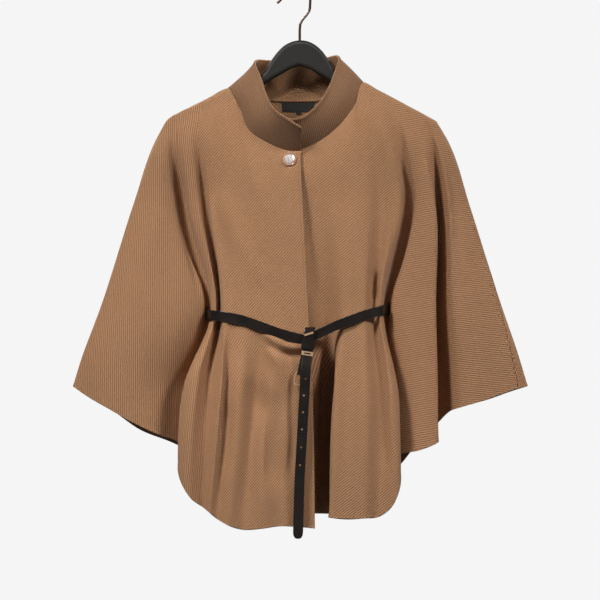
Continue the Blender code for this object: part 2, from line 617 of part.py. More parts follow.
def turned(name, profile, steps, finish, collection, centre, axis):
    # A turned shape: the profile's radius and height in millimetres, spun about its own axis
    build = bmesh.new()
    line = [build.verts.new((radius * MM, 0, height * MM)) for radius, height in profile]
    for a, b in zip(line, line[1:]):
        build.edges.new((a, b))
    mesh = bpy.data.meshes.new(name)
    build.to_mesh(mesh)
    build.free()
    item = add_object(name, mesh, finish, collection)
    screw = item.modifiers.new("Turn", "SCREW")
    screw.steps = steps
    screw.render_steps = steps
    screw.use_merge_vertices = True
    screw.merge_threshold = 0.00001
    screw.use_smooth_shade = True
    item.location = centre
    item.rotation_mode = "QUATERNION"
    item.rotation_quaternion = Vector((0, 0, 1)).rotation_difference(axis)
    return item


def make_button(trees, collection):
    x, z = BUTTON_AT[0] * MM, -BUTTON_AT[1] * MM
    reach = BUTTON_RADIUS * 0.9 * MM
    left, right = depth_at(trees, x - reach, z), depth_at(trees, x + reach, z)
    top, bottom = depth_at(trees, x, z + reach), depth_at(trees, x, z - reach)
    facing = Vector((2 * reach, right - left, 0)).cross(Vector((0, bottom - top, -2 * reach))).normalized()
    if facing.y > 0:
        facing.negate()
    middle = Vector((x, depth_at(trees, x, z), z)) + facing * BUTTON_LIFT * MM
    rim = [(BUTTON_RADIUS + more, height) for more, height in RIM_PROFILE]
    rim = [(0, rim[0][1])] + rim + [(0, 0)]
    turned("button_rim", rim, 24, ROSE_GOLD, collection, middle, facing)
    inside = BUTTON_RADIUS - RIM_WALL - GAP
    jewel = [(inside * share, height) for share, height in JEWEL_PROFILE]
    turned("button_jewel", jewel, 12, CRYSTAL, collection, middle, facing)


def make_belt(trees, collection):
    up = Vector((0, 0, BELT_WIDTH / 2 * MM))
    runs = (
        ("belt_left", BELT_LEFT_LINE, SLIT_LEFT, 1),
        ("belt_right", BELT_RIGHT_LINE, SLIT_RIGHT, -1),
    )
    for name, route, slit, side in runs:
        path = strap_line(trees, route, slit, side)
        strip(name, path, [up] * len(path), BLACK_LEATHER, collection)
    inside = smooth_line([place(*p) for p in BELT_INSIDE_LINE], [2] * (len(BELT_INSIDE_LINE) - 1))
    strip("belt_inside", inside, [up] * len(inside), BLACK_LEATHER, collection)


def make_tail(collection):
    count = len(BELT_TAIL_LINE) - 1
    line = smooth_line([place(*row[:3]) for row in BELT_TAIL_LINE], [2] * count)
    shares = smooth_line([Vector((row[3], 0, 0)) for row in BELT_TAIL_LINE], [2] * count)
    side = Vector((-BELT_WIDTH / 2 * MM, 0, 0))
    strip("belt_tail", line, [side * min(share.x, 1) for share in shares], BLACK_LEATHER, collection)


def buckle_point(across, above, out):
    # A point by its distances from the middle of the buckle's bar, in the buckle's tilt
    bar_across, bar_down, bar_out = BUCKLE_BAR
    x = bar_across + across * math.cos(BUCKLE_TILT) + above * math.sin(BUCKLE_TILT)
    down = bar_down + across * math.sin(BUCKLE_TILT) - above * math.cos(BUCKLE_TILT)
    return place(x, down, out)


def make_buckle_end(collection):
    # Down behind the tail, round the bar and a little way up again, with a slot for the tongue
    bar_out = BUCKLE_BAR[2]
    reach = WIRE / 2 + 2 * GAP + LEATHER
    fold = []
    for step in range(7):
        turn = math.radians(180 * step / 6)
        fold.append((-reach * math.sin(turn), bar_out + reach * math.cos(turn)))
    route = BUCKLE_END_FRONT + tuple(fold) + BUCKLE_END_BACK
    points = [buckle_point(0, above, out) for above, out in route]
    line = smooth_line(points, [2] * (len(points) - 1))
    side = buckle_point(-BELT_WIDTH / 2, 0, bar_out) - buckle_point(0, 0, bar_out)
    slot_start = 2 * len(BUCKLE_END_FRONT) - 3
    slot = [(c, 1) for c in range(slot_start, slot_start + 17)]
    shares = (1, BUCKLE_SLOT_SHARE, -BUCKLE_SLOT_SHARE, -1)
    strip("belt_buckle_end", line, [side] * len(line), BLACK_LEATHER, collection, shares, slot)


def wire(name, points, thickness, finish, collection, closed=False):
    curve = bpy.data.curves.new(name, "CURVE")
    curve.dimensions = "3D"
    curve.bevel_depth = thickness / 2 * MM
    curve.bevel_resolution = 2
    curve.use_fill_caps = not closed
    spline = curve.splines.new("POLY")
    spline.points.add(len(points) - 1)
    for spot, point in zip(spline.points, points):
        spot.co = (*point, 1)
    spline.use_cyclic_u = closed
    return add_object(name, curve, finish, collection)


def rounded_rectangle(width, height, corner, steps=4):
    points = []
    corners = ((1, 1, 0), (-1, 1, 90), (-1, -1, 180), (1, -1, 270))
    for sx, sy, start in corners:
        for step in range(steps + 1):
            turn = math.radians(start + 90 * step / steps)
            x = sx * (width / 2 - corner) + corner * math.cos(turn)
            y = sy * (height / 2 - corner) + corner * math.sin(turn)
            points.append((x, y))
    return points


def make_buckle(collection):
    bar_out = BUCKLE_BAR[2]
    outline = rounded_rectangle(FRAME_WIDTH - WIRE, FRAME_HEIGHT, FRAME_CORNER)
    frame = [buckle_point(x, y - FRAME_HEIGHT / 2, bar_out) for x, y in outline]
    wire("buckle_frame", frame, WIRE, GOLD, collection, closed=True)
    reach = WIRE / 2 + TONGUE_WIRE / 2 + TONGUE_GAP
    loop = []
    for step in range(11):
        turn = math.radians(225 - 225 * step / 10)
        loop.append(buckle_point(0, reach * math.sin(turn), bar_out + reach * math.cos(turn)))
    for share in (0.25, 0.5, 0.75, 1):
        loop.append(buckle_point(0, -share * (FRAME_HEIGHT + 1), bar_out + reach))
    wire("buckle_tongue", loop, TONGUE_WIRE, GOLD, collection)


def make_loop(name, sizes, finish, collection):
    # A flat band bent into a closed loop: the space between two outlines, drawn out to its height
    across, down, back, front, width, height, thickness, tilt = sizes
    depth = front - back
    inner = rounded_rectangle(width, depth, LOOP_CORNER)
    outer = rounded_rectangle(width + 2 * thickness, depth + 2 * thickness, LOOP_CORNER + thickness)
    curve = bpy.data.curves.new(name, "CURVE")
    curve.dimensions = "2D"
    curve.fill_mode = "BOTH"
    curve.extrude = height / 2 * MM
    for outline in (outer, list(reversed(inner))):
        spline = curve.splines.new("POLY")
        spline.points.add(len(outline) - 1)
        for spot, (x, y) in zip(spline.points, outline):
            spot.co = (x * MM, y * MM, 0, 1)
        spline.use_cyclic_u = True
    item = add_object(name, curve, finish, collection)
    item.location = place(across, down, (front + back) / 2)
    item.rotation_euler = (0, math.radians(tilt), 0)


def make_fittings(collection):
    make_loop("belt_knot", KNOT, BLACK_LEATHER, collection)
    make_loop("keeper_loop", KEEPER_LOOP, GOLD, collection)
    across, down, out, width, height, thickness, tilt = KEEPER_BAR
    bpy.ops.mesh.primitive_cube_add(size=1)
    bar = bpy.context.object
    bar.name = "keeper_bar"
    bar.data.name = "keeper_bar"
    bar.data.transform(Matrix.Diagonal((width * MM, thickness * MM, height * MM, 1)))
    bar.location = place(across, down, out)
    bar.rotation_euler = (0, math.radians(tilt), 0)
    bevel = bar.modifiers.new("Edges", "BEVEL")
    bevel.width = BAR_EDGE * MM
    bevel.segments = 2
    for holder in list(bar.users_collection):
        holder.objects.unlink(bar)
    collection.objects.link(bar)
    bar.data.materials.append(make_material("keeper_bar", GOLD))


def flat_point(across, down):
    return Vector((across, 0, -down)) * MM


def make_hook(collection):
    # The wire's middle line: the tip, round over the rail, and down the stem into the arms
    points = [flat_point(*p) for p in HOOK_TIP]
    centre_down = HOOK_RADIUS - HOOK_WIRE / 2
    start, end = HOOK_BEND
    for step in range(19):
        turn = math.radians(start + (end - start) * step / 18)
        points.append(flat_point(HOOK_RADIUS * math.cos(turn), centre_down - HOOK_RADIUS * math.sin(turn)))
    points += [flat_point(*p) for p in HOOK_NECK]
    line = smooth_line(points, [1] * (len(points) - 1))
    wire("hanger_hook", line, HOOK_WIRE, COPPER_BROWN, collection)


def arm_seat(shoulder):
    # Points along the top of one arm, under the shoulder line, a little lower where the collar starts
    (neck_x, neck_down), (end_x, end_down) = shoulder
    slope = (end_down - neck_down) / (end_x - neck_x)
    drop = ARM_BELOW_SHOULDER * math.sqrt(1 + slope * slope)
    points = []
    for share, dip in SEAT:
        across = neck_x + (end_x - neck_x) * share
        points.append((across, neck_down + slope * (across - neck_x) + drop + dip))
    return points


def make_arms(collection, cutters):
    # One flat outline: over the arch, out along the seats under the shoulders, and back underneath
    left, right = arm_seat(SHOULDER_LEFT), arm_seat(SHOULDER_RIGHT)
    outline = list(reversed(left)) + list(ARCH_TOP) + right
    for beyond, share in ARM_END:
        outline.append((right[-1][0] + beyond, right[-1][1] + ARM_DEPTH * share))
    outline += [(across, down + ARM_DEPTH) for across, down in reversed(right[:-1])]
    outline += list(ARCH_BOTTOM)
    outline += [(across, down + ARM_DEPTH) for across, down in left[:-1]]
    for beyond, share in reversed(ARM_END):
        outline.append((left[-1][0] - beyond, left[-1][1] + ARM_DEPTH * share))
    outline.append(outline[0])
    outline = smooth_line([flat_point(*p) for p in outline], [2] * (len(outline) - 1))[:-1]
    curve = bpy.data.curves.new("arms_outline", "CURVE")
    curve.dimensions = "2D"
    curve.fill_mode = "BOTH"
    curve.extrude = (ARM_THICKNESS / 2 - ARM_EDGE) * MM
    curve.bevel_depth = ARM_EDGE * MM
    curve.bevel_resolution = 2
    curve.offset = -ARM_EDGE * MM
    spline = curve.splines.new("POLY")
    spline.points.add(len(outline) - 1)
    for spot, point in zip(spline.points, outline):
        spot.co = (point.x, point.z, 0, 1)
    spline.use_cyclic_u = True
    guide = bpy.data.objects.new("arms_outline", curve)
    collection.objects.link(guide)
    guide.rotation_euler = (math.radians(90), 0, 0)
    bpy.context.view_layer.update()
    evaluated = guide.evaluated_get(bpy.context.evaluated_depsgraph_get())
    mesh = bpy.data.meshes.new_from_object(evaluated)
    build = bmesh.new()
    build.from_mesh(mesh)
    bmesh.ops.remove_doubles(build, verts=build.verts, dist=0.00001)
    bmesh.ops.recalc_face_normals(build, faces=build.faces)
    build.to_mesh(mesh)
    build.free()
    mesh.materials.clear()
    arms = add_object("hanger_arms", mesh, CHARCOAL, collection)
    arms.matrix_world = guide.matrix_world.copy()
    bpy.data.objects.remove(guide, do_unlink=True)
    top, bottom = STEM_HOLE
    radius = (HOOK_WIRE / 2 + GAP) * MM
    bpy.ops.mesh.primitive_cylinder_add(vertices=24, radius=radius, depth=(bottom - top) * MM)
    hole = bpy.context.object
    hole.name = "stem_hole"
    hole.location = flat_point(STEM_ACROSS, (top + bottom) / 2)
    hole.hide_render = True
    hole.display_type = "WIRE"
    for holder in list(hole.users_collection):
        holder.objects.unlink(hole)
    cutters.objects.link(hole)
    cut = arms.modifiers.new("Stem hole", "BOOLEAN")
    cut.operation = "DIFFERENCE"
    cut.object = hole
    cut.solver = "EXACT"


def main():
    clear_scene()
    collection = make_collection("belted_poncho_cape")
    cutters = make_collection("cutters")
    grid, normals, folds, starts, pieces = make_cloth(collection)
    trees = [front_surface(pieces["front_left"]), front_surface(pieces["front_right"])]
    make_label(normals, grid, starts, collection)
    make_button(trees, collection)
    make_belt(trees, collection)
    make_tail(collection)
    make_buckle_end(collection)
    make_buckle(collection)
    make_fittings(collection)
    make_hook(collection)
    make_arms(collection, cutters)


main()
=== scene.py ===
import math
import random
from functools import partial

import bmesh
import bpy
import numpy as np
from mathutils import Matrix, Vector, noise


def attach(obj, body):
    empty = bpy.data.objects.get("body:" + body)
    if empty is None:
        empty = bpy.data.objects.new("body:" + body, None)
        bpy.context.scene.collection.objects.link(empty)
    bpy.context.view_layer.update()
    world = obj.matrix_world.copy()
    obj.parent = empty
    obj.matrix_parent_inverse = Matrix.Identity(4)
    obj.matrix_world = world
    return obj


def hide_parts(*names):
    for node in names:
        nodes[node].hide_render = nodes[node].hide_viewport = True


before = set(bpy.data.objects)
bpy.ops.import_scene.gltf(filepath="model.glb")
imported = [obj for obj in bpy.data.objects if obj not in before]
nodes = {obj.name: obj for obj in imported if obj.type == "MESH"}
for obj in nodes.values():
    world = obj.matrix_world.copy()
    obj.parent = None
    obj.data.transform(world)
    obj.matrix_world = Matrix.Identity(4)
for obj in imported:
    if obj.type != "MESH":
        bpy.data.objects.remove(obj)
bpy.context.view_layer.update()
mm = 0.001
print("frame loaded with", len(nodes), "nodes")

sight = {"distance": 4000.0, "across": 6.2, "down": 490.1, "field": 930.0}  # where the sizes were taken from


def place(across, down, out):
    # a point as seen from the front, taken back to its true place
    nearer = 1.0 - out / sight["distance"]
    x = sight["across"] + (across - sight["across"]) * nearer
    z = -(sight["down"] + (down - sight["down"]) * nearer)
    return Vector((x, -out, z)) * mm


def addObject(name, data):
    made = bpy.data.objects.new(name, data)
    bpy.context.scene.collection.objects.link(made)
    return made


def smoothLine(points, steps, start=None):
    # a smooth curve through the points; each step is a count or a list of shares from 0 to 1
    count = len(points)
    lengths = [max((points[i + 1] - points[i]).length, 1e-6) for i in range(count - 1)]
    slopes = [(points[i + 1] - points[i]) / lengths[i] for i in range(count - 1)]
    tangents = []
    for i in range(1, count - 1):
        before, after = lengths[i - 1], lengths[i]
        tangents.append((slopes[i - 1] * after + slopes[i] * before) / (before + after))
    if count > 2:
        first = slopes[0] * 1.5 - tangents[0] * 0.5
        last = slopes[-1] * 1.5 - tangents[-1] * 0.5
    else:
        first, last = slopes[0], slopes[0]
    tangents = [start if start else first] + tangents + [last]
    line = [points[0].copy()]
    for i in range(count - 1):
        shares = steps[i]
        if isinstance(shares, int):
            shares = [(step + 1) / shares for step in range(shares)]
        for t in shares:
            point = points[i] * (2 * t**3 - 3 * t**2 + 1)
            point += tangents[i] * lengths[i] * (t**3 - 2 * t**2 + t)
            point += points[i + 1] * (3 * t**2 - 2 * t**3)
            point += tangents[i + 1] * lengths[i] * (t**3 - t**2)
            line.append(point)
    return line


# fold lines of the cloth from the left front edge round to the right front edge: name, steps to
# the next line, then across, down and out at the top, yoke, chest, waist, hip and hem
leftFrontFolds = (
    ("front edge", 2, (8, 8, 11.5, 21.5, 26, 29.5),
     (258.5, 278, 343, 551, 645, 844.5), (34, 39, 45, 53.5, 60, 62)),
    ("button line", 2, (-11, -10, -6, 5.5, 3, 0),
     (258, 277, 343, 547.5, 645, 842), (34, 39, 44.5, 53, 61, 65)),
    ("breast", 2, (-43, -42, -26, -9, -14, -23),
     (246, 266, 343, 544, 645, 841), (32, 37, 43, 53, 58, 66)),
    ("ridge 1", 2, (-71, -73, -51, -26, -43, -53),
     (228, 253, 343, 540, 645, 845), (27, 34, 44, 54, 68, 74)),
    ("hollow 1", 2, (-88, -87, -82, -53, -65, -82),
     (189.5, 219, 343, 530.5, 653, 846.5), (16, 26, 37, 50, 54, 68)),
    ("ridge 2", 2, (-106, -108, -107, -79, -90, -105),
     (161.5, 186, 343, 521, 645, 840), (0, 16, 34, 52, 68, 76)),
    ("hollow 2", 1, (-119, -125.5, -127, -99, -111, -122.5),
     (168.5, 192.5, 343, 517, 645, 829.5), (0, 16, 26, 47, 58, 68)),
    ("body ridge", 2, (-132, -138, -134, -111, -115, -135),
     (174.5, 198.5, 340, 515, 602, 819.5), (0, 16, 27, 46, 66, 74)),
    ("gather", 2, (-142.5, -149, -141, -118.5, -133, -147),
     (180, 203.5, 336.5, 514, 598.5, 810), (0, 15, 11, 14, 40, 60)),
    ("band ridge", 2, (-155, -161, -150.5, -126.5, -152, -163),
     (186.5, 209.5, 340, 513.5, 606.5, 798), (0, 15, 24, 36, 60, 66)),
    ("panel side", 2, (-167.5, -173.5, -165, -131.5, -173.5, -183.5),
     (192.5, 216, 343, 512.5, 622, 749), (0, 14, 19, 26, 46, 48)),
    ("slit right", 1, (-177.5, -183, -170.5, -134.5, -163, -166),
     (197, 220.5, 346, 512.5, 626.5, 726), (0, 12, 1, 5, 12, 14)),
    ("slit left", 1, (-184.5, -190, -176.5, -141, -170.5, -174),
     (201, 223.5, 346, 511, 626, 716.5), (0, 11, 0, 4, 0, 0)),
    ("wing start", 2, (-190, -196, -184, -141.5, -184, -187),
     (203.5, 226.5, 344.5, 510.5, 629.5, 708), (0, 12, 13, 16, 6, 8)),
    ("wing 1", 2, (-194.5, -201.5, -198.5, -158, -211, -214),
     (206.5, 229.5, 344.5, 507, 632.5, 698.5), (0, 12, 20, 27, 23, 26)),
    ("wing 2", 2, (-198.5, -206, -214, -201.5, -249.5, -252.5),
     (209.5, 233, 344.5, 505.5, 626.5, 680.5), (0, 11, 22, 34, 32, 34)),
    ("wing 3", 2, (-201, -210, -231, -249.5, -288.5, -291.5),
     (212.5, 235, 344.5, 504, 614, 658.5), (0, 9, 16, 29, 27, 28)),
    ("wing 4", 2, (-203, -213.5, -245, -285, -321, -324),
     (215.5, 237, 344.5, 504, 598.5, 639.5), (0, 6, 8, 15, 13, 14)),
)
leftSeam = (
    ("left seam", 2, (-204, -215.5, -252.5, -304, -333.5, -346),
     (218, 238.5, 343, 504, 583, 624), (0, 0, 0, 0, 0, 0)),
)
backFolds = (
    ("back wing 1", 2, (-203, -212.5, -243.5, -288.5, -316, -319),
     (215.5, 238, 344.5, 504, 598.5, 642.5), (0, -6, -11, -12, -13, -14)),
    ("back wing 2", 2, (-200, -208.5, -223, -257.5, -282, -285),
     (211, 234.5, 344.5, 504, 617, 661.5), (0, -10, -24, -28, -30, -34)),
    ("back ridge 1", 2, (-194, -201.5, -200, -218.5, -238.5, -242),
     (206.5, 229.5, 344.5, 505.5, 637.5, 691), (0, -12, -34, -44, -52, -54)),
    ("back hollow 1", 2, (-183, -189, -175, -180, -192, -192),
     (200.5, 223.5, 344.5, 507, 653, 711), (0, -13, -34, -36, -38, -40)),
    ("back ridge 2", 2, (-163, -167.5, -144, -141, -145.5, -147),
     (190, 212.5, 344.5, 508.5, 660.5, 736), (0, -14, -44, -56, -66, -68)),
    ("back hollow 2", 2, (-139.5, -142.5, -114.5, -105.5, -102.5, -102.5),
     (178.5, 201, 344.5, 510.5, 668.5, 766), (0, -15, -44, -48, -50, -52)),
    ("back neck left", 2, (-106, -105.5, -82, -68, -62, -60.5),
     (161.5, 186, 344.5, 512, 676, 788.5), (0, -17, -54, -66, -78, -80)),
    ("back hollow 3", 2, (-87, -82, -51, -32.5, -25, -23),
     (171.5, 195.5, 344.5, 513.5, 682.5, 802.5), (-22, -30, -54, -58, -60, -60)),
    ("back ridge 3", 2, (-48, -45, -21.5, 0, 6, 8),
     (180, 199.5, 344.5, 513.5, 685.5, 809.5), (-36, -41, -60, -70, -80, -82)),
    ("back centre", 2, (3, 3, 11, 34, 40, 42),
     (182.5, 200.5, 344.5, 513.5, 684, 808), (-40, -44, -58, -60, -60, -60)),
    ("back ridge 4", 2, (54, 52.5, 43.5, 68, 76, 77.5),
     (178.5, 198, 344.5, 512.5, 677.5, 801), (-36, -41, -60, -70, -80, -82)),
    ("back hollow 4", 2, (87, 83.5, 76, 104, 114.5, 116),
     (164.5, 189.5, 344.5, 511, 668.5, 784), (-20, -30, -54, -56, -56, -58)),
    ("back neck right", 2, (104.5, 105.5, 110, 141, 152, 153.5),
     (152, 178.5, 344.5, 509.5, 657.5, 754.5), (0, -17, -56, -66, -74, -76)),
    ("back hollow 5", 2, (127, 133.5, 142.5, 173.5, 184.5, 186),
     (164, 188, 344.5, 507, 642, 715), (0, -15, -46, -50, -52, -52)),
    ("back ridge 5", 2, (152, 159.5, 173.5, 207.5, 220, 223),
     (177, 201, 344.5, 504, 626.5, 667), (0, -14, -46, -56, -62, -64)),
    ("back wing 3", 2, (175, 184.5, 203, 242, 257.5, 262),
     (189.5, 212.5, 344.5, 501.5, 615.5, 654.5), (0, -13, -34, -36, -38, -38)),
    ("back wing 4", 2, (194, 204.5, 229.5, 273, 294.5, 300.5),
     (199.5, 222.5, 344.5, 499.5, 605, 643.5), (0, -11, -32, -40, -44, -44)),
    ("back wing 5", 2, (207.5, 219.5, 251, 297.5, 324, 331.5),
     (207, 230.5, 344.5, 498, 595.5, 632.5), (0, -8, -20, -22, -24, -24)),
    ("back turn", 2, (214, 230, 266, 317.5, 347.5, 359),
     (210.5, 236.5, 343, 495, 584.5, 623.5), (0, -4, -7, -6, -3, 0)),
)
rightSeam = (
    ("right seam", 2, (217, 234.5, 269.5, 314, 337, 345),
     (212.5, 241.5, 344.5, 494, 585.5, 627), (0, 0, 1, 4, 9, 11)),
)
rightFrontFolds = (
    ("wing 5", 2, (214.5, 231, 257.5, 291.5, 314.5, 321),
     (211, 240, 344.5, 493, 592.5, 635), (0, 6, 9, 15, 17, 18)),
    ("wing 6", 2, (211, 225, 242, 262, 282, 286.5),
     (209, 236.5, 344.5, 494.5, 605, 647.5), (0, 9, 16, 27, 28, 28)),
    ("wing 7", 2, (206, 218.5, 238, 243, 252.5, 255.5),
     (206.5, 233.5, 344.5, 495.5, 617, 656.5), (0, 11, 22, 27, 25, 26)),
    ("wing start", 2, (200.5, 213, 231, 231, 236.5, 238.5),
     (203.5, 230.5, 344.5, 496.5, 628, 662), (0, 12, 16, 12, 6, 6)),
    ("side valley", 2, (194.5, 206, 222.5, 217, 214, 217),
     (200.5, 226.5, 344.5, 498, 637.5, 684), (0, 10, -9, -20, -22, -20)),
    ("side return", 2, (187.5, 198.5, 215, 210, 206, 209),
     (196.5, 222, 344.5, 499.5, 642, 702.5), (0, 12, 8, 6, 8, 10)),
    ("side ridge", 2, (178.5, 187.5, 216, 217, 220, 221),
     (192, 216.5, 344.5, 498, 645, 710), (0, 13, 26, 32, 32, 34)),
    ("side panel", 2, (167.5, 173.5, 194, 183, 190.5, 190.5),
     (185.5, 209.5, 344.5, 500, 648.5, 723.5), (0, 14, 30, 34, 36, 38)),
    ("side start", 2, (158, 163, 182, 146.5, 161.5, 166),
     (181, 204, 344.5, 502.5, 651.5, 727.5), (0, 14, 26, 22, 24, 27)),
    ("slit right", 1, (150.5, 155, 176.5, 145.5, 142.5, 144),
     (177, 200, 344.5, 503.5, 650, 733.5), (0, 13, 8, 6, 8, 10)),
    ("slit left", 2, (142.5, 146.5, 171, 139, 149, 150.5),
     (173, 195.5, 344.5, 504, 653, 743), (0, 13, 8, 6, 24, 26)),
    ("panel side", 2, (133.5, 136.5, 162.5, 135, 159, 162),
     (168.5, 191.5, 344.5, 503, 637.5, 760), (0, 15, 28, 30, 48, 50)),
    ("ridge 3", 1, (123, 126.5, 149, 129.5, 147.5, 147.5),
     (162.5, 186.5, 344.5, 505.5, 639, 812.5), (0, 16, 31, 42, 60, 64)),
    ("hollow 3", 2, (114, 116.5, 132.5, 121.5, 132, 128.5),
     (157, 181.5, 344.5, 508.5, 640.5, 826.5), (0, 16, 25, 32, 50, 58)),
    ("ridge 4", 2, (104.5, 105.5, 110, 105.5, 107, 105.5),
     (152, 177, 344.5, 515.5, 642, 829), (0, 16, 38, 50, 66, 72)),
    ("hollow 4", 2, (90, 88.5, 82, 88.5, 82, 79),
     (188.5, 212.5, 344.5, 522.5, 642, 830.5), (15, 24, 36, 49, 60, 66)),
    ("ridge 5", 2, (68, 65, 60.5, 74.5, 55, 49),
     (217.5, 240.5, 344.5, 528, 642, 827.5), (22, 30, 39, 50, 62, 64)),
    ("recess", 2, (40.5, 37, 34, 49.5, 62, 56),
     (240, 260.5, 344.5, 538, 642, 822), (26.5, 32.5, 35, 24, 4, 2)),
    ("underlap", 2, (12.5, 11, 12.5, 25, 25, 25),
     (254, 273, 344.5, 547.5, 645, 821), (28, 32, 38, 40, 24, 24)),
    ("hidden edge", 0, (-14, -14, -12.5, -3, 0, 1.5),
     (257.5, 276, 344.5, 549, 646.5, 820.5), (28, 32.5, 37, 44, 38, 40)),
)

# the collar at each fold line that ends at the neck: across, down and out half way up and at the top
collarLeft = (
    ("front edge", (7.5, 240.5, 51), (8, 222.5, 69)),
    ("button line", (-12.5, 233.5, 51), (-12.5, 209.5, 69)),
    ("breast", (-40, 222, 49), (-32.5, 195, 64)),
    ("ridge 1", (-64.5, 202.5, 40), (-44, 175.5, 46)),
    ("hollow 1", (-77.5, 171, 26), (-52, 149, 25)),
    ("ridge 2", (-82, 141, 1), (-60.5, 117.5, -8)),
)
collarBack = (
    ("back hollow 3", (-68, 146, -23), (-43.5, 118, -21)),
    ("back ridge 3", (-34, 148.5, -34), (-20, 119, -28)),
    ("back centre", (3, 149, -37.5), (3, 119, -31)),
    ("back ridge 4", (39, 146, -34), (26.5, 116.5, -28)),
    ("back hollow 4", (70, 140, -22), (48, 113.5, -21)),
)
collarRight = (
    ("ridge 4", (85, 131.5, 1), (63, 110.5, -8)),
    ("hollow 4", (77.5, 166, 23), (58, 140, 20)),
    ("ridge 5", (59, 194, 34), (45, 169.5, 38)),
    ("recess", (34, 220.5, 42), (25, 195, 54)),
    ("underlap", (11, 233.5, 43), (8, 206.5, 58.5)),
    ("hidden edge", (-14, 236, 43), (-14, 209, 58.5)),
)

cloth = {
    "thickness": 2.5, "seamGap": 0.3,
    "rowsDown": (8, 24, 40, 25, 36), "columnsPerStep": 5,
    "hemRows": (12.0, 8.5, 6.5, 5.2, 4.2, 3.0, 1.8, 0.8),  # extra rows this far from the hem
    "hemSpan": 200.0, "hemClear": 0.01,  # from hip to hem, and the share left free above those rows
    "edgeColumns": (0.04, 0.09, 0.16, 0.25),  # extra shares of the first step in from a front edge
    "shoulderRoll": (1, -0.15),  # how the cloth leaves the shoulder line: out and down
    "ripple": 0.55, "rippleSize": 46.0, "seed": 11,
    "hemStitch": 4.7, "hemRoll": 0.35, "hemRollFrom": 3.2, "hemRollOver": 3.0,
    "seamFade": 8.0,  # columns over which the creases fade out at a side seam
    "topFade": 45.0,  # and how far down they fade in from the shoulders and the neck
    "slitFrom": 0.945, "slitTo": 0.08,  # the belt's way in, as shares of the spans above and below the waist
    "slitWidth": 4.5,
}

# soft creases laid over the fold lines: height (negative is a trough), width on each side,
# then across and down along it; the first width is on the side to the left of the way it runs
frontLeftCreases = (
    (3.2, 16, 15, ((-122, 300), (-96, 380), (-62, 440), (-43, 490))),
    (2.2, 14, 12, ((-72, 292), (-40, 345), (-14, 411))),
    (-1.6, 11, 12, ((-58, 400), (-54, 450), (-60, 500))),
    (7.0, 6, 12, ((-62, 532), (-42, 548), (-20, 560), (16, 563), (46, 560))),
    (-8.0, 7, 6, ((-60, 538), (-44, 556), (-22, 571), (14, 575), (50, 572))),
    (7.0, 13, 8, ((-58, 530), (-38, 566), (-22, 602), (-14, 640), (-15, 700), (-18, 770))),
    (-6.5, 7, 9, ((-4, 596), (-8, 640), (-7, 700), (-8, 780))),
    (-8.0, 20, 15, ((-78, 606), (-58, 640), (-42, 690), (-38, 750), (-42, 800))),
    (-2.6, 12, 12, ((-112, 640), (-106, 690), (-104, 770))),
    (2.4, 16, 12, ((-100, 560), (-84, 640), (-82, 740), (-80, 800))),
    (1.8, 12, 12, ((-40, 650), (-22, 700), (-20, 780))),
    (1.6, 26, 20, ((-216, 330), (-240, 420), (-268, 520))),
    (-1.5, 20, 20, ((-196, 380), (-206, 470), (-214, 590), (-224, 680))),
    (-6.0, 8, 7, ((-190, 250), (-180, 330), (-172, 380), (-159, 430), (-145, 500))),
    (-2.0, 8, 8, ((-150, 240), (-141, 336), (-128, 430), (-119, 508))),
)
frontRightCreases = (
    (-6.0, 9, 14, ((13, 290), (19, 370), (28, 440), (42, 500), (52, 530))),
    (-17.0, 9, 6, ((49, 545), (47, 575), (46, 620), (45, 680), (43, 740), (40, 800), (37, 870))),
    (2.0, 18, 16, ((60, 320), (72, 400), (70, 470), (60, 510))),
    (-4.5, 9, 7, ((196, 220), (180, 320), (160, 420), (144, 496))),
    (-3.6, 5, 6, ((120, 440), (122, 470), (123.5, 497))),
    (-5.0, 5, 7, ((125.5, 515), (129, 550), (134, 610), (138, 690), (145, 780))),
    (2.0, 12, 12, ((100, 330), (88, 420), (96, 500))),
    (1.6, 22, 14, ((230, 330), (262, 440), (290, 560), (296, 620))),
    (-1.6, 14, 18, ((98, 560), (88, 640), (84, 720), (80, 800))),
    (1.4, 16, 16, ((64, 590), (66, 700), (64, 800))),
)
backCreases = (
    (-3.0, 20, 16, ((-60, 300), (-44, 380), (-58, 470), (-40, 560), (-36, 650))),
    (2.6, 16, 20, ((20, 260), (34, 350), (58, 440), (62, 540))),
    (-2.4, 14, 14, ((96, 420), (88, 520), (96, 640), (90, 740))),
    (2.2, 18, 14, ((-128, 330), (-150, 440), (-160, 560), (-166, 660))),
    (-2.0, 16, 22, ((160, 330), (186, 430), (196, 540), (214, 620))),
    (1.8, 22, 22, ((-20, 600), (-14, 700), (-16, 790))),
    (-1.8, 18, 12, ((-210, 320), (-226, 430), (-248, 560))),
    (2.0, 20, 16, ((120, 560), (132, 650), (134, 730))),
)
creaseLook = {"stepsPerSpan": 8, "endShare": 0.28}  # points along a crease, and how soon its ends fade


def rowShares():
    # shares down each span, closer together at the hem, with the slit's ends among them
    spans = []
    for count in cloth["rowsDown"]:
        spans.append([(step + 1) / count for step in range(count)])
    spans[2] = sorted(set(spans[2]) | {cloth["slitFrom"]})
    spans[3] = sorted(set(spans[3]) | {cloth["slitTo"]})
    near = [1 - far / cloth["hemSpan"] for far in cloth["hemRows"]]
    spans[4] = sorted([share for share in spans[4] if share < near[0] - cloth["hemClear"]] + near + [1.0])
    return spans


def columnShares(steps, frontEdge=""):
    # shares across one step, closer together beside a front edge
    count = steps * cloth["columnsPerStep"]
    shares = [(step + 1) / count for step in range(count)]
    if frontEdge == "first":
        shares = sorted(set(shares) | set(cloth["edgeColumns"]))
    if frontEdge == "last":
        shares = sorted(set(shares) | {1 - share for share in cloth["edgeColumns"]})
    return shares


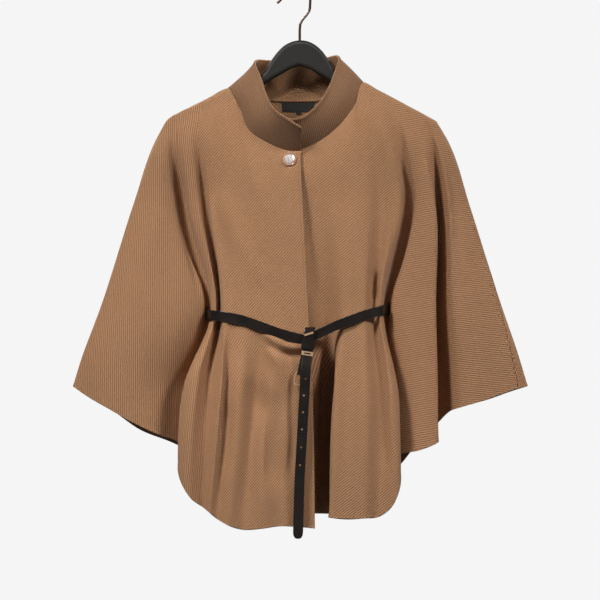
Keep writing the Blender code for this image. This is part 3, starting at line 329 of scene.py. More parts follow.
def gridThrough(lines, steps):
    # a grid of points, column by column, through lines that all have the same rows
    levels = [smoothLine(list(level), steps) for level in zip(*lines)]
    return np.array([[tuple(point) for point in level] for level in levels]).transpose(1, 0, 2)


def clothSheet(folds):
    # the whole cloth as one grid of columns, with the column that each fold line falls on
    spans = rowShares()
    rollOut, rollDown = cloth["shoulderRoll"]
    lines = []
    for fold in folds:
        across, down, out = fold[2:]
        onShoulder = out[0] == 0 and out[1]
        roll = Vector((0, math.copysign(rollOut, -out[1]), rollDown)) if onShoulder else None
        lines.append(smoothLine([place(*point) for point in zip(across, down, out)], spans, roll))
    steps = [columnShares(fold[1]) for fold in folds[:-1]]
    steps[0] = columnShares(folds[0][1], "first")
    steps[-1] = columnShares(folds[-2][1], "last")
    starts = [0]
    for shares in steps:
        starts.append(starts[-1] + len(shares))
    return gridThrough(lines, steps), starts, spans


def normalsOf(grid):
    normals = np.cross(np.gradient(grid, axis=0), np.gradient(grid, axis=1))
    return normals / np.maximum(np.linalg.norm(normals, axis=2, keepdims=True), 1e-12)


def walked(grid, axis):
    # distance along the cloth from the first row or column
    step = np.linalg.norm(np.diff(grid, axis=axis), axis=2)
    shape = list(grid.shape[:2])
    shape[axis] = 1
    return np.concatenate((np.zeros(shape), np.cumsum(step, axis=axis)), axis=axis)


def walkedBack(grid, axis):
    # distance along the cloth from the last row or column
    return np.flip(walked(np.flip(grid, axis), axis), axis)


def ease(values):
    values = np.clip(values, 0, 1)
    return values * values * (3 - 2 * values)


def seenFrom(grid):
    # across and down of every point, as seen from the front
    out = -grid[..., 1] / mm
    nearer = 1 - out / sight["distance"]
    across = sight["across"] + (grid[..., 0] / mm - sight["across"]) / nearer
    down = sight["down"] + (-grid[..., 2] / mm - sight["down"]) / nearer
    return across, down


def creaseHeight(grid, creases):
    # how far the creases lift the cloth at every point
    across, down = seenFrom(grid)
    height = np.zeros(across.shape)
    fade = creaseLook["endShare"]
    for rise, leftWidth, rightWidth, route in creases:
        steps = [creaseLook["stepsPerSpan"]] * (len(route) - 1)
        line = smoothLine([Vector((a, d, 0)) for a, d in route], steps)
        points = np.array([(point.x, point.y) for point in line])
        spans = np.linalg.norm(np.diff(points, axis=0), axis=1)
        gone = np.concatenate(([0], np.cumsum(spans)))
        nearest = np.full(across.shape, 1e9)
        side = np.zeros(across.shape)
        share = np.zeros(across.shape)
        for i in range(len(points) - 1):
            step = points[i + 1] - points[i]
            t = ((across - points[i][0]) * step[0] + (down - points[i][1]) * step[1]) / (step @ step)
            t = np.clip(t, 0, 1)
            dx, dy = across - points[i][0] - t * step[0], down - points[i][1] - t * step[1]
            far = np.hypot(dx, dy)
            closer = far < nearest
            nearest = np.where(closer, far, nearest)
            side = np.where(closer, np.sign(step[0] * dy - step[1] * dx), side)
            share = np.where(closer, (gone[i] + t * spans[i]) / gone[-1], share)
        width = np.where(side > 0, rightWidth, leftWidth)
        ends = ease(np.clip(share / fade, 0, 1) * np.clip((1 - share) / fade, 0, 1))
        height += rise * np.exp(-(nearest / width) ** 2) * ends
    return height


def ripple(grid, size, seed):
    # slow unevenness of cloth that hangs free, drawn out along its height
    columns, rows = grid.shape[:2]
    height = np.zeros((columns, rows))
    shift = Vector((seed * 3.1, seed * 1.7, seed * 0.9))
    level, upright = 1.6, 0.7
    for c in range(columns):
        for r in range(rows):
            point = Vector(grid[c, r]) / (size * mm)
            point = Vector((point.x * level, point.y * level, point.z * upright))
            height[c, r] = noise.noise(point + shift)
    return height


rim = {"reach": 0.34, "shoulderDown": 0.14, "shoulderIn": 0.3}  # shares of the thickness; the last of reach


def roundedWall(name, grid, normals, thickness, openCells, weave, edges):
    # a closed wall between a grid and the same grid moved in, with its rims rounded over
    columns, rows = grid.shape[:2]
    deep = thickness * mm
    outer = grid.reshape(-1, 3).copy()
    inner = (grid - normals * deep).reshape(-1, 3).copy()
    flatNormals = normals.reshape(-1, 3)
    openSet = set(openCells)
    cells = [(c, r) for c in range(columns - 1) for r in range(rows - 1) if (c, r) not in openSet]
    cellSet = set(cells)
    outward = {}
    rimSides = []
    for c, r in cells:
        around = ((c, r), (c, r + 1), (c + 1, r + 1), (c + 1, r))
        for dc, dr, first, second in ((0, -1, 3, 0), (0, 1, 1, 2), (-1, 0, 0, 1), (1, 0, 2, 3)):
            if (c + dc, r + dr) in cellSet:
                continue
            rimSides.append((c, r, around[first], around[second]))
            for corner in (around[first], around[second]):
                inside = (corner[0] - dc, corner[1] - dr)
                a, b = corner[0] * rows + corner[1], inside[0] * rows + inside[1]
                away = outer[a] - outer[b]
                outward[a] = outward.get(a, 0) + away / max(np.linalg.norm(away), 1e-9)
    rimStart = {}
    rimPoints = []
    count = columns * rows
    reach = deep * rim["reach"]
    for a, away in outward.items():
        away = away / max(np.linalg.norm(away), 1e-9)
        edge, n = outer[a].copy(), flatNormals[a]
        outer[a] = edge - away * reach
        inner[a] = edge - n * deep - away * reach
        rimStart[a] = 2 * count + len(rimPoints)
        rimPoints.append(edge - n * deep * rim["shoulderDown"] - away * reach * rim["shoulderIn"])
        rimPoints.append(edge - n * deep * 0.5)
        rimPoints.append(edge - n * deep * (1 - rim["shoulderDown"]) - away * reach * rim["shoulderIn"])
    faces, source = [], []
    for c, r in cells:
        a, b = c * rows + r, (c + 1) * rows + r
        faces.append((b, b + 1, a + 1, a))
        faces.append((a + count, a + 1 + count, b + 1 + count, b + count))
        source += [(c, r)] * 2
    for c, r, p, q in rimSides:
        a, b = p[0] * rows + p[1], q[0] * rows + q[1]
        left = (a, rimStart[a], rimStart[a] + 1, rimStart[a] + 2, a + count)
        right = (b, rimStart[b], rimStart[b] + 1, rimStart[b] + 2, b + count)
        for i in range(4):
            faces.append((left[i], right[i], right[i + 1], left[i + 1]))
            source.append((c, r))
    mesh = bpy.data.meshes.new(name)
    mesh.from_pydata(np.concatenate((outer, inner, np.array(rimPoints))).tolist(), [], faces)
    owner = np.zeros(len(mesh.vertices), int)
    owner[:count] = owner[count:2 * count] = np.arange(count)
    for a, start in rimStart.items():
        owner[start:start + 3] = a
    addWeave(mesh, source, owner, weave)
    for label, values in edges.items():
        attribute = mesh.attributes.new(label, "FLOAT", "POINT")
        attribute.data.foreach_set("value", values.reshape(-1)[owner].astype(np.float32))
    dropLoosePoints(mesh)
    mesh.shade_smooth()
    return addObject(name, mesh)


def addWeave(mesh, source, owner, weave):
    # twill coordinates at every corner, in the zone of the grid cell that the face comes from
    u, v, zoneOf = weave
    corners = np.zeros(len(mesh.loops), int)
    mesh.loops.foreach_get("vertex_index", corners)
    zone = np.repeat([zoneOf[c] for c, r in source], 4)
    spot = owner[corners]
    flat = np.stack([side.reshape(len(side), -1)[zone, spot] for side in (u, v)], axis=1)
    layer = mesh.uv_layers.new(name="weave")
    layer.data.foreach_set("uv", flat.reshape(-1).astype(np.float32))


def dropLoosePoints(mesh):
    build = bmesh.new()
    build.from_mesh(mesh)
    loose = [point for point in build.verts if not point.link_faces]
    if loose:
        bmesh.ops.delete(build, geom=loose, context="VERTS")
        build.to_mesh(mesh)
    build.free()


def seamShift(grid, column, direction):
    # half the seam gap, along the cloth and away from the seam
    along = grid[column + 1] - grid[column - 1]
    along /= np.linalg.norm(along, axis=1, keepdims=True)
    return grid[column] + along * direction * cloth["seamGap"] / 2 * mm


def twillIn(zones, columns, across, fallen):
    # twill coordinates in metres for each zone, across the ribs and along them, and each column's zone
    us, vs = [], []
    zoneOf = np.zeros(columns, int)
    for i, (first, last, middle, lean) in enumerate(zones):
        s, a = across(middle), math.radians(lean)
        us.append(s * math.sin(a) - fallen * math.cos(a))
        vs.append(-(s * math.cos(a) + fallen * math.sin(a)))
        zoneOf[first:last] = i
    return np.array(us), np.array(vs), zoneOf


def weaveOver(grid, zones, leftward):
    # the twill of a cloth piece, measured round the body
    plan = np.hypot(np.diff(grid[..., 0], axis=0), np.diff(grid[..., 1], axis=0))
    plan = np.concatenate((np.zeros((1, grid.shape[1])), np.cumsum(plan, axis=0)))
    return twillIn(zones, len(grid), lambda at: leftward * grid[at, :, 0] + plan - plan[at], -grid[..., 2])


# where the twill changes its lean behind a fold: from, to and measured at a fold line, degrees from level
leftWeave = (("start", "gather", "ridge 1", 47), ("gather", "slit right", "band ridge", 84),
             ("slit right", "end", "wing 2", 90))
backWeave = (("start", "back hollow 1", "back wing 2", -6),
             ("back hollow 1", "back hollow 2", "back ridge 2", 12),
             ("back hollow 2", "back hollow 4", "back ridge 3", 45),
             ("back hollow 4", "back hollow 5", "back neck right", 62),
             ("back hollow 5", "end", "back wing 4", 88))
rightWeave = (("start", "side valley", "wing 6", -6), ("side valley", "slit right", "side ridge", 10),
              ("slit right", "end", "ridge 4", 38))


def layCreases(grid, leftSeamAt, rightSeamAt):
    # creases and slow unevenness, fading out towards the seams, the shoulders and the neck
    height = np.zeros(grid.shape[:2])
    height[:leftSeamAt] = creaseHeight(grid[:leftSeamAt], frontLeftCreases)
    height[leftSeamAt:rightSeamAt] = creaseHeight(grid[leftSeamAt:rightSeamAt], backCreases)
    height[rightSeamAt:] = creaseHeight(grid[rightSeamAt:], frontRightCreases)
    height += cloth["ripple"] * ripple(grid, cloth["rippleSize"], cloth["seed"])
    index = np.arange(len(grid))
    beside = np.minimum(np.abs(index - leftSeamAt), np.abs(index - rightSeamAt)) / cloth["seamFade"]
    height *= ease(beside)[:, None]
    height *= ease(walked(grid, 1) / (cloth["topFade"] * mm))
    fromHem = walkedBack(grid, 1) / mm
    height += cloth["hemRoll"] * (1 - ease((fromHem - cloth["hemRollFrom"]) / cloth["hemRollOver"]))
    return grid + normalsOf(grid) * (height * mm)[..., None]


def levelShoulders(grid, normals, folds, starts):
    # along the shoulders the front and the back meet in one line, with level normals
    shoulder = np.zeros(len(grid), bool)
    for i, fold in enumerate(folds[:-1]):
        if fold[4][0] == 0 and folds[i + 1][4][0] == 0:
            shoulder[starts[i]:starts[i + 1] + 1] = True
    flat = normals[shoulder, 1].copy()
    flat[:, 1] = 0
    normals[shoulder, 0] = flat / np.linalg.norm(flat, axis=1, keepdims=True)
    grid[shoulder, 0, 1] = 0


def stitchLines(part, frontEdge):
    # how far each point is from the hem, or from a front edge where that is nearer, and how far along it
    edgeFar = walkedBack(part, 1)
    edgeAlong = np.repeat(walked(part, 0)[:, -1:], part.shape[1], axis=1)
    if frontEdge:
        frontFar = walked(part, 0)
        closer = frontFar < edgeFar
        edgeFar[closer], edgeAlong[closer] = frontFar[closer], walked(part, 1)[closer]
    return {"edgeFar": edgeFar, "edgeAlong": edgeAlong}


def standIn(piece, material, slotName, *replaced):
    piece.data.materials.append(material)
    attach(piece, "root")
    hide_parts(*replaced)
    return piece


def areaOf(piece):
    # one side of a wall
    return sum(face.area for face in piece.data.polygons) / 2


def dressCloth():
    folds = leftFrontFolds + leftSeam + backFolds + rightSeam + rightFrontFolds
    names = [fold[0] for fold in folds]
    grid, starts, spans = clothSheet(folds)
    leftIndex = len(leftFrontFolds)
    rightIndex = leftIndex + 1 + len(backFolds)
    leftSeamAt, rightSeamAt = starts[leftIndex], starts[rightIndex]
    grid = layCreases(grid, leftSeamAt, rightSeamAt)
    normals = normalsOf(grid)
    levelShoulders(grid, normals, folds, starts)
    chestRow = sum(len(span) for span in spans[:2])
    waistRow = sum(len(span) for span in spans[:3])
    slitTop = chestRow + 1 + spans[2].index(cloth["slitFrom"])
    slitBottom = waistRow + 1 + spans[3].index(cloth["slitTo"])
    # piece, node, first and last column, side (the back is 1), twill, first fold line, whether it has a slit
    cuts = (
        ("clothFrontLeft", "front_left", 0, leftSeamAt, -1, leftWeave, 0, True),
        ("clothBack", "back", leftSeamAt, rightSeamAt, 1, backWeave, leftIndex, False),
        ("clothFrontRight", "front_right", rightSeamAt, len(grid) - 1, -1, rightWeave, rightIndex, True),
    )
    pieces = []
    for name, node, first, last, side, weave, foldFrom, hasSlit in cuts:
        part = grid[first:last + 1].copy()
        if first > 0:
            part[0] = seamShift(grid, first, 1)
        if last < len(grid) - 1:
            part[-1] = seamShift(grid, last, -1)
        top = np.abs(part[:, 0, 1]) < cloth["seamGap"] * mm
        part[top, 0, 1] = side * cloth["seamGap"] / 2 * mm
        openCells = []
        if hasSlit:
            slit = names.index("slit right", foldFrom)
            a, b = starts[slit] - first, starts[slit + 1] - first
            middle = part[a:b + 1, slitTop, 0].mean()
            openCells = [(c, r) for c in range(a, b) for r in range(slitTop, slitBottom)
                         if abs(part[c:c + 2, r, 0].mean() - middle) < cloth["slitWidth"] / 2 * mm]
        at = {fold: starts[names.index(fold, foldFrom)] - first for zone in weave for fold in zone[:3]
              if fold not in ("start", "end")}
        at.update(start=0, end=last - first)
        zones = [(at[start], at[end], at[middle], lean) for start, end, middle, lean in weave]
        piece = roundedWall(name, part, normals[first:last + 1], cloth["thickness"], openCells,
                            weaveOver(part, zones, side), stitchLines(part, name == "clothFrontLeft"))
        standIn(piece, woolTwill, "cloth", node)
        print(name, "hem", round(walked(part, 0)[-1, -1], 3),
              "longest", round(walked(part, 1)[:, -1].max(), 3),
              "area", round(areaOf(piece), 4), "triangles", 2 * len(piece.data.polygons))
        pieces.append(piece)
    return grid, normals, names, starts, pieces


def shadeNode(tree, kind, values=None, **settings):
    node = tree.nodes.new(kind)
    for key, value in settings.items():
        setattr(node, key, value)
    for key, value in (values or {}).items():
        node.inputs[key].default_value = value
    return node


def maths(tree, operation, *values, clamp=False):
    node = shadeNode(tree, "ShaderNodeMath", operation=operation, use_clamp=clamp)
    for i, value in enumerate(values):
        if isinstance(value, (int, float)):
            node.inputs[i].default_value = value
        else:
            tree.links.new(value, node.inputs[i])
    return node.outputs[0]


def blendColours(tree, share, first, second):
    node = shadeNode(tree, "ShaderNodeMix", data_type="RGBA")
    for key, value in (("Factor", share), ("A", first), ("B", second)):
        socket = [s for s in node.inputs if s.name == key and s.enabled][0]
        if isinstance(value, tuple):
            socket.default_value = (*value, 1.0)
        else:
            tree.links.new(value, socket)
    return [s for s in node.outputs if s.enabled][0]


def texture(tree, kind, values, **settings):
    # a texture that is fixed to the piece
    node = shadeNode(tree, kind, values, **settings)
    spot = shadeNode(tree, "ShaderNodeTexCoord")
    tree.links.new(spot.outputs["Object"], node.inputs["Vector"])
    return node


def clouds(tree, scale, detail, roughness=0.5):
    look = {"Scale": scale, "Detail": detail, "Roughness": roughness}
    return texture(tree, "ShaderNodeTexNoise", look).outputs["Fac"]


def addColour(tree, shader, share, first, second):
    tree.links.new(blendColours(tree, share, first, second), shader.inputs["Base Color"])


def addBump(tree, shader, height, strength, depth):
    bump = shadeNode(tree, "ShaderNodeBump", {"Strength": strength, "Distance": depth * mm})
    tree.links.new(height, bump.inputs["Height"])
    tree.links.new(bump.outputs["Normal"], shader.inputs["Normal"])


def addRoughness(tree, shader, share, middle, spread):
    # roughness that strays as far as the spread on each side of its middle
    rough = maths(tree, "MULTIPLY_ADD", share, 2 * spread, middle - spread)
    tree.links.new(rough, shader.inputs["Roughness"])


def freshMaterial(name, values):
    material = bpy.data.materials.new(name)
    material.use_nodes = True
    tree = material.node_tree
    shader = tree.nodes["Principled BSDF"]
    for key, value in values.items():
        shader.inputs[key].default_value = value
    return material, tree, shader


wool = {
    # the groove colour is painted shade between the ribs; camel and warm are the cloth's own tones
    "camel": (0.495, 0.266, 0.142), "warm": (0.505, 0.262, 0.130), "grooveShade": (0.158, 0.073, 0.032),
    "collarShade": 0.66,  # painted shade: the collar's outside is a darker copy of the twill
    "ribPitch": 3.3, "ribWander": 0.6, "ribRoundness": 0.7, "ribTone": 0.80, "grooveTone": 0.16,
    "yarnLength": 1.9, "yarnShift": 0.37, "heather": 0.5,
    "stitchWidth": 0.9, "stitchBeat": 0.5, "stitchTone": 0.5,
    "ribLift": 0.62, "yarnLift": 0.16, "fuzzLift": 0.28, "stitchSink": 0.8, "bump": 0.8, "bumpDepth": 0.7,
    "shader": {"Roughness": 0.88, "Sheen Weight": 0.10, "Sheen Roughness": 0.45, "Specular IOR Level": 0.25},
}


def makeWoolTwill(name, depth):
    # a depth below 1 darkens every colour, making a copy of the twill with painted shade
    camel, warm, grooveShade = (tuple(depth * part for part in wool[key]) for key in ("camel", "warm", "grooveShade"))
    material, tree, shader = freshMaterial(name, wool["shader"])
    calc = partial(maths, tree)
    weave = shadeNode(tree, "ShaderNodeUVMap", uv_map="weave")
    split = shadeNode(tree, "ShaderNodeSeparateXYZ")
    tree.links.new(weave.outputs["UV"], split.inputs[0])
    # ribs that wander a little, each laid in short lengths of yarn
    wander = calc("SUBTRACT", clouds(tree, 55.0, 2.0), 0.5)
    phase = calc("ADD", calc("DIVIDE", split.outputs["X"], wool["ribPitch"] * mm),
                 calc("MULTIPLY", wander, wool["ribWander"]))
    wave = calc("SINE", calc("MULTIPLY", phase, 2 * math.pi))
    rib = calc("POWER", calc("MULTIPLY_ADD", wave, 0.5, 0.5), wool["ribRoundness"])
    ribNumber = calc("FLOOR", calc("ADD", phase, 0.25))
    yarn = calc("ADD", calc("DIVIDE", split.outputs["Y"], wool["yarnLength"] * mm),
                calc("MULTIPLY", ribNumber, wool["yarnShift"]))
    yarnWave = calc("SINE", calc("MULTIPLY", yarn, 2 * math.pi))
    floats = calc("MULTIPLY_ADD", yarnWave, 0.5, 0.5)
    # camel on the ribs and painted shade in the grooves between them, with uneven fibres
    heather = calc("SUBTRACT", clouds(tree, 380.0, 2.0), 0.5)
    shade = calc("ADD", calc("MULTIPLY_ADD", rib, wool["ribTone"], wool["grooveTone"]),
                 calc("MULTIPLY", heather, wool["heather"]), clamp=True)
    tint = blendColours(tree, clouds(tree, 14.0, 2.0), camel, warm)
    colour = blendColours(tree, shade, grooveShade, tint)
    # the stitched line beside hems and front edges, sunk in the bump and blended towards the groove's
    # painted shade colour
    edgeFar = shadeNode(tree, "ShaderNodeAttribute", attribute_name="edgeFar").outputs["Fac"]
    edgeAlong = shadeNode(tree, "ShaderNodeAttribute", attribute_name="edgeAlong").outputs["Fac"]
    away = calc("ABSOLUTE", calc("SUBTRACT", edgeFar, cloth["hemStitch"] * mm))
    line = calc("SUBTRACT", 1.0, calc("DIVIDE", away, wool["stitchWidth"] * mm), clamp=True)
    beat = calc("SINE", calc("DIVIDE", edgeAlong, wool["stitchBeat"] * mm))
    stitch = calc("MULTIPLY", line, calc("MULTIPLY_ADD", beat, 0.3, 0.6))
    addColour(tree, shader, calc("MULTIPLY", stitch, wool["stitchTone"]), colour, grooveShade)
    fuzz = clouds(tree, 1500.0, 3.0, 0.7)
    lift = calc("ADD", calc("MULTIPLY", rib, wool["ribLift"]), calc("MULTIPLY", floats, wool["yarnLift"]))
    lift = calc("ADD", lift, calc("MULTIPLY", fuzz, wool["fuzzLift"]))
    lift = calc("SUBTRACT", lift, calc("MULTIPLY", stitch, wool["stitchSink"]))
    addBump(tree, shader, lift, wool["bump"], wool["bumpDepth"])
    return material


leather = {
    "colour": (0.0065, 0.0038, 0.0028), "bright": (0.013, 0.008, 0.006), "wear": 60.0, "grain": 1400.0,
    "bump": 0.18, "roughness": 0.34, "uneven": 0.11,
    "shader": {"Coat Weight": 0.22, "Coat Roughness": 0.18, "Specular IOR Level": 0.4},
}


def makeLeather():
    material, tree, shader = freshMaterial("blackBrownLeather", leather["shader"])
    wear = clouds(tree, leather["wear"], 4.0)
    addColour(tree, shader, wear, leather["colour"], leather["bright"])
    addRoughness(tree, shader, wear, leather["roughness"], leather["uneven"])
    grain = texture(tree, "ShaderNodeTexVoronoi", {"Scale": leather["grain"]})
    addBump(tree, shader, grain.outputs["Distance"], leather["bump"], 0.2)
    return material


metals = {  # colour, duller colour, roughness and how far that strays
    "paleGold": ((0.86, 0.57, 0.36), (0.68, 0.43, 0.26), 0.22, 0.05),
    "roseGold": ((0.84, 0.56, 0.42), (0.66, 0.40, 0.28), 0.24, 0.05),
    "copperBrown": ((0.115, 0.058, 0.034), (0.06, 0.032, 0.02), 0.34, 0.1),
}


def makeMetal(name):
    colour, dull, roughness, uneven = metals[name]
    material, tree, shader = freshMaterial(name, {"Metallic": 0.45})
    cloud = clouds(tree, 220.0, 4.0)
    addColour(tree, shader, cloud, colour, dull)
    addRoughness(tree, shader, cloud, roughness, uneven)
    return material


hanger = {
    "colour": (0.012, 0.0105, 0.009), "bright": (0.020, 0.0175, 0.015), "clouds": 18.0, "specks": 900.0,
    "roughness": 0.52, "uneven": 0.1, "bump": 0.15, "shader": {"Specular IOR Level": 0.4},
}


def makeHangerCharcoal():
    material, tree, shader = freshMaterial("charcoalHanger", hanger["shader"])
    addColour(tree, shader, clouds(tree, hanger["clouds"], 3.0), hanger["colour"], hanger["bright"])
    speck = clouds(tree, hanger["specks"], 3.0)
    addRoughness(tree, shader, speck, hanger["roughness"], hanger["uneven"])
    addBump(tree, shader, speck, hanger["bump"], 0.2)
    return material


satin = {
    "colour": (0.017, 0.015, 0.013), "bright": (0.034, 0.031, 0.027), "threads": 900.0, "stray": 0.4,
    "bump": 0.3, "shader": {"Sheen Weight": 0.3, "Roughness": 0.55},
}


def makeLabelSatin():
    material, tree, shader = freshMaterial("labelSatin", satin["shader"])
    threads = texture(tree, "ShaderNodeTexWave", {"Scale": satin["threads"], "Distortion": satin["stray"]},
                      bands_direction="Z")
    addColour(tree, shader, threads.outputs["Fac"], satin["colour"], satin["bright"])
    addBump(tree, shader, threads.outputs["Fac"], satin["bump"], 0.2)
    return material


# the stone's dim and bright colours are painted glints and reflections, given to its faces at random
stone = {
    "dim": (0.42, 0.34, 0.30), "bright": (1.0, 0.99, 0.97),
    "shader": {"Roughness": 0.06, "Metallic": 0.25, "Coat Weight": 1.0, "Coat Roughness": 0.02, "IOR": 1.7},
    "seed": 5, "lift": 0.5, "bezel": 0.80,  # facets further out than this share are its metal rim
}


def makeRhinestone():
    material, tree, shader = freshMaterial("rhinestone", stone["shader"])
    facetGlint = shadeNode(tree, "ShaderNodeAttribute", attribute_name="facetGlint")
    # each face's colour is a painted glint, dim to bright at random
    addColour(tree, shader, facetGlint.outputs["Fac"], stone["dim"], stone["bright"])
    return material


woolTwill = makeWoolTwill("woolTwill", 1.0)
collarShadedTwill = makeWoolTwill("collarShadedTwill", wool["collarShade"])
blackLeather = makeLeather()
paleGold = makeMetal("paleGold")
roseGold = makeMetal("roseGold")
copperBrown = makeMetal("copperBrown")
charcoalHanger = makeHangerCharcoal()
labelSatin = makeLabelSatin()
rhinestone = makeRhinestone()
print("materials made")

grid, normals, names, starts, clothPieces = dressCloth()
print("cloth dressed")

collarLook = {
    "thickness": 4.0, "columnsPerStep": 8, "rowsUp": (12, 14),
    "tuck": 1.6, "sink": 0.9,  # how far its foot is sewn down and in at the neck seam
    "lip": 1.1, "lipWidth": 4.2, "lipFade": 2.0,  # the fuller fold along its top
    "ripple": 0.35, "rippleSize": 30.0, "seed": 5, "edgeFade": 10.0, "footFade": 12.0,
    "leans": (-40, 45, 84),  # of the twill in the left front, the back and the right front
    "unstitched": 50.0,  # too far from any edge for a stitched line
}


def dressCollar():
    # the bottom follows the neck seam; the rest is drawn through the middle and top of each fold line
    rulings = []
    backFrom = len(leftFrontFolds) + 1
    rightFrom = backFrom + len(backFolds) + 1
    for offset, table in ((0, collarLeft), (backFrom, collarBack), (rightFrom, collarRight)):
        for name, middle, top in table:
            index = names.index(name, offset)
            rulings.append((index, [Vector(grid[starts[index], 0]), place(*middle), place(*top)]))
    perStep = collarLook["columnsPerStep"]
    steps = [perStep] * (len(rulings) - 1)
    wall = gridThrough([smoothLine(points, collarLook["rowsUp"]) for index, points in rulings], steps)
    seam, inward = neckSeam(rulings, steps, grid), neckSeam(rulings, steps, normals)
    rise = wall[:, 1] - seam
    rise /= np.linalg.norm(rise, axis=1, keepdims=True)
    wall[:, 0] = seam - rise * collarLook["tuck"] * mm - inward * collarLook["sink"] * mm
    wall = wall[:, ::-1].copy()
    topFar = walked(wall, 1)
    fade = collarLook["edgeFade"] * mm
    height = collarLook["ripple"] * ripple(wall, collarLook["rippleSize"], collarLook["seed"])
    height *= ease(topFar / fade) * ease(walkedBack(wall, 1) / (collarLook["footFade"] * mm))
    height *= ease(walked(wall, 0) / fade) * ease(walkedBack(wall, 0) / fade)
    height += collarLook["lip"] * (1 - ease((topFar / mm - collarLook["lipWidth"]) / collarLook["lipFade"]))
    wall = wall + normalsOf(wall) * (height * mm)[..., None]
    along = walked(wall, 0)
    ends = (0, perStep * len(collarLeft), perStep * (len(collarLeft) + len(collarBack)), len(wall))
    zones = [(first, last, (first + last) // 2, lean)
             for first, last, lean in zip(ends, ends[1:], collarLook["leans"])]
    weave = twillIn(zones, len(wall), lambda at: along - along[at], topFar)
    edges = {"edgeFar": np.full(topFar.shape, collarLook["unstitched"] * mm), "edgeAlong": along}
    piece = roundedWall("clothCollar", wall, normalsOf(wall), collarLook["thickness"], (), weave, edges)
    standIn(piece, collarShadedTwill, "cloth", "collar")
    piece.data.materials.append(woolTwill)
    middle = Vector(wall.reshape(-1, 3).mean(axis=0))
    for face in piece.data.polygons:
        outward = face.center - middle
        facesIn = outward.x * face.normal.x + outward.y * face.normal.y < 0
        face.material_index = int(facesIn)  # the outside takes the painted-shade copy, the inside the plain twill
    print("clothCollar around", round(along[-1].mean(), 3), "tall", round(topFar[:, -1].mean(), 3),
          "area", round(areaOf(piece), 4))
    return piece


def neckSeam(rulings, steps, rows):
    # the top row of the cloth's points or normals from one ruling to the next, without the shoulders
    seam = []
    for i, count in enumerate(steps):
        here, there = rulings[i][0], rulings[i + 1][0]
        first, last = starts[here], starts[there]
        if there - here > 1 and grid[first, 0, 0] < 0:
            first = starts[there - 1]
        elif there - here > 1:
            last = starts[here + 1]
        for step in range(count):
            at = first + step / count * (last - first)
            low = int(at)
            seam.append(rows[low, 0] * (1 - at + low) + rows[min(low + 1, len(rows) - 1), 0] * (at - low))
    seam.append(rows[starts[rulings[-1][0]], 0])
    return np.array(seam)


clothCollar = dressCollar()
print("collar dressed")

belt = {
    "stretches": (  # node, piece and how far its edges are eased
        ("belt_left", "strapLeft", 0.7), ("belt_right", "strapRight", 0.7),
        ("belt_inside", "strapInside", 0.7), ("belt_knot", "strapKnot", 1.5),
        ("belt_buckle_end", "strapBuckleEnd", 0.7), ("belt_tail", "strapTail", 0.7)),
    "holes": ((14.6, 611.6), (12.1, 637.5), (10.7, 663.5), (9.1, 690.2), (7.8, 717.8), (6.2, 745.7)),
    "holeRadius": 1.5, "holeSides": 20, "holeReach": (40, 90),
}
keeper = {"edge": 0.25, "slot": (17.6, 573.0, 4.9, 1.1), "slotReach": (66.5, 74), "slotTurn": 9}


def fromNode(node, name, bevelWidth=0.0):
    # the node's own shape as a new piece, with its edges eased
    mesh = nodes[node].data.copy()
    mesh.materials.clear()
    build = bmesh.new()
    build.from_mesh(mesh)
    bmesh.ops.remove_doubles(build, verts=build.verts, dist=0.02 * mm)
    bmesh.ops.dissolve_limit(build, angle_limit=math.radians(0.5), verts=build.verts, edges=build.edges)
    build.to_mesh(mesh)
    build.free()
    if mesh.has_custom_normals:
        mesh.attributes.remove(mesh.attributes["custom_normal"])
    piece = addObject(name, mesh)
    if bevelWidth:
        bevel = piece.modifiers.new("edges", "BEVEL")
        bevel.width = bevelWidth * mm
        bevel.segments = 3
        bevel.limit_method = "ANGLE"
        bevel.angle_limit = math.radians(40)
    mesh.shade_smooth()
    mesh.set_sharp_from_angle(angle=math.radians(60))
    return piece


def keep(node, material):
    # a frame node that is right as it is, with its finish
    mesh = nodes[node].data
    mesh.materials.clear()
    mesh.materials.append(material)


def punch(piece, holes, reach, sides, turned=0.0):
    # straight cuts from the front: across, down, half width and half height of each
    build = bmesh.new()
    for across, down, halfWidth, halfHeight in holes:
        near, far = place(across, down, reach[1]), place(across, down, reach[0])
        cone = bmesh.ops.create_cone(build, cap_ends=True, segments=sides, radius1=1, radius2=1, depth=1)
        made = cone["verts"]
        if sides == 4:
            bmesh.ops.rotate(build, verts=made, matrix=Matrix.Rotation(math.radians(45), 3, "Z"))
            bmesh.ops.scale(build, verts=made, vec=(2 ** 0.5, 2 ** 0.5, 1))
        bmesh.ops.scale(build, verts=made, vec=(halfWidth * mm, halfHeight * mm, (far - near).length))
        bmesh.ops.rotate(build, verts=made, matrix=Matrix.Rotation(math.radians(90), 3, "X"))
        bmesh.ops.rotate(build, verts=made, matrix=Matrix.Rotation(math.radians(turned), 3, "Y"))
        bmesh.ops.translate(build, verts=made, vec=(near + far) / 2)
    mesh = bpy.data.meshes.new("punch")
    build.to_mesh(mesh)
    build.free()
    cutter = addObject("punch", mesh)
    cut = piece.modifiers.new("holes", "BOOLEAN")
    cut.object = cutter
    cut.solver = "EXACT"
    bpy.context.view_layer.update()
    piece.data = bpy.data.meshes.new_from_object(piece.evaluated_get(bpy.context.evaluated_depsgraph_get()))
    piece.modifiers.clear()
    bpy.data.objects.remove(cutter)


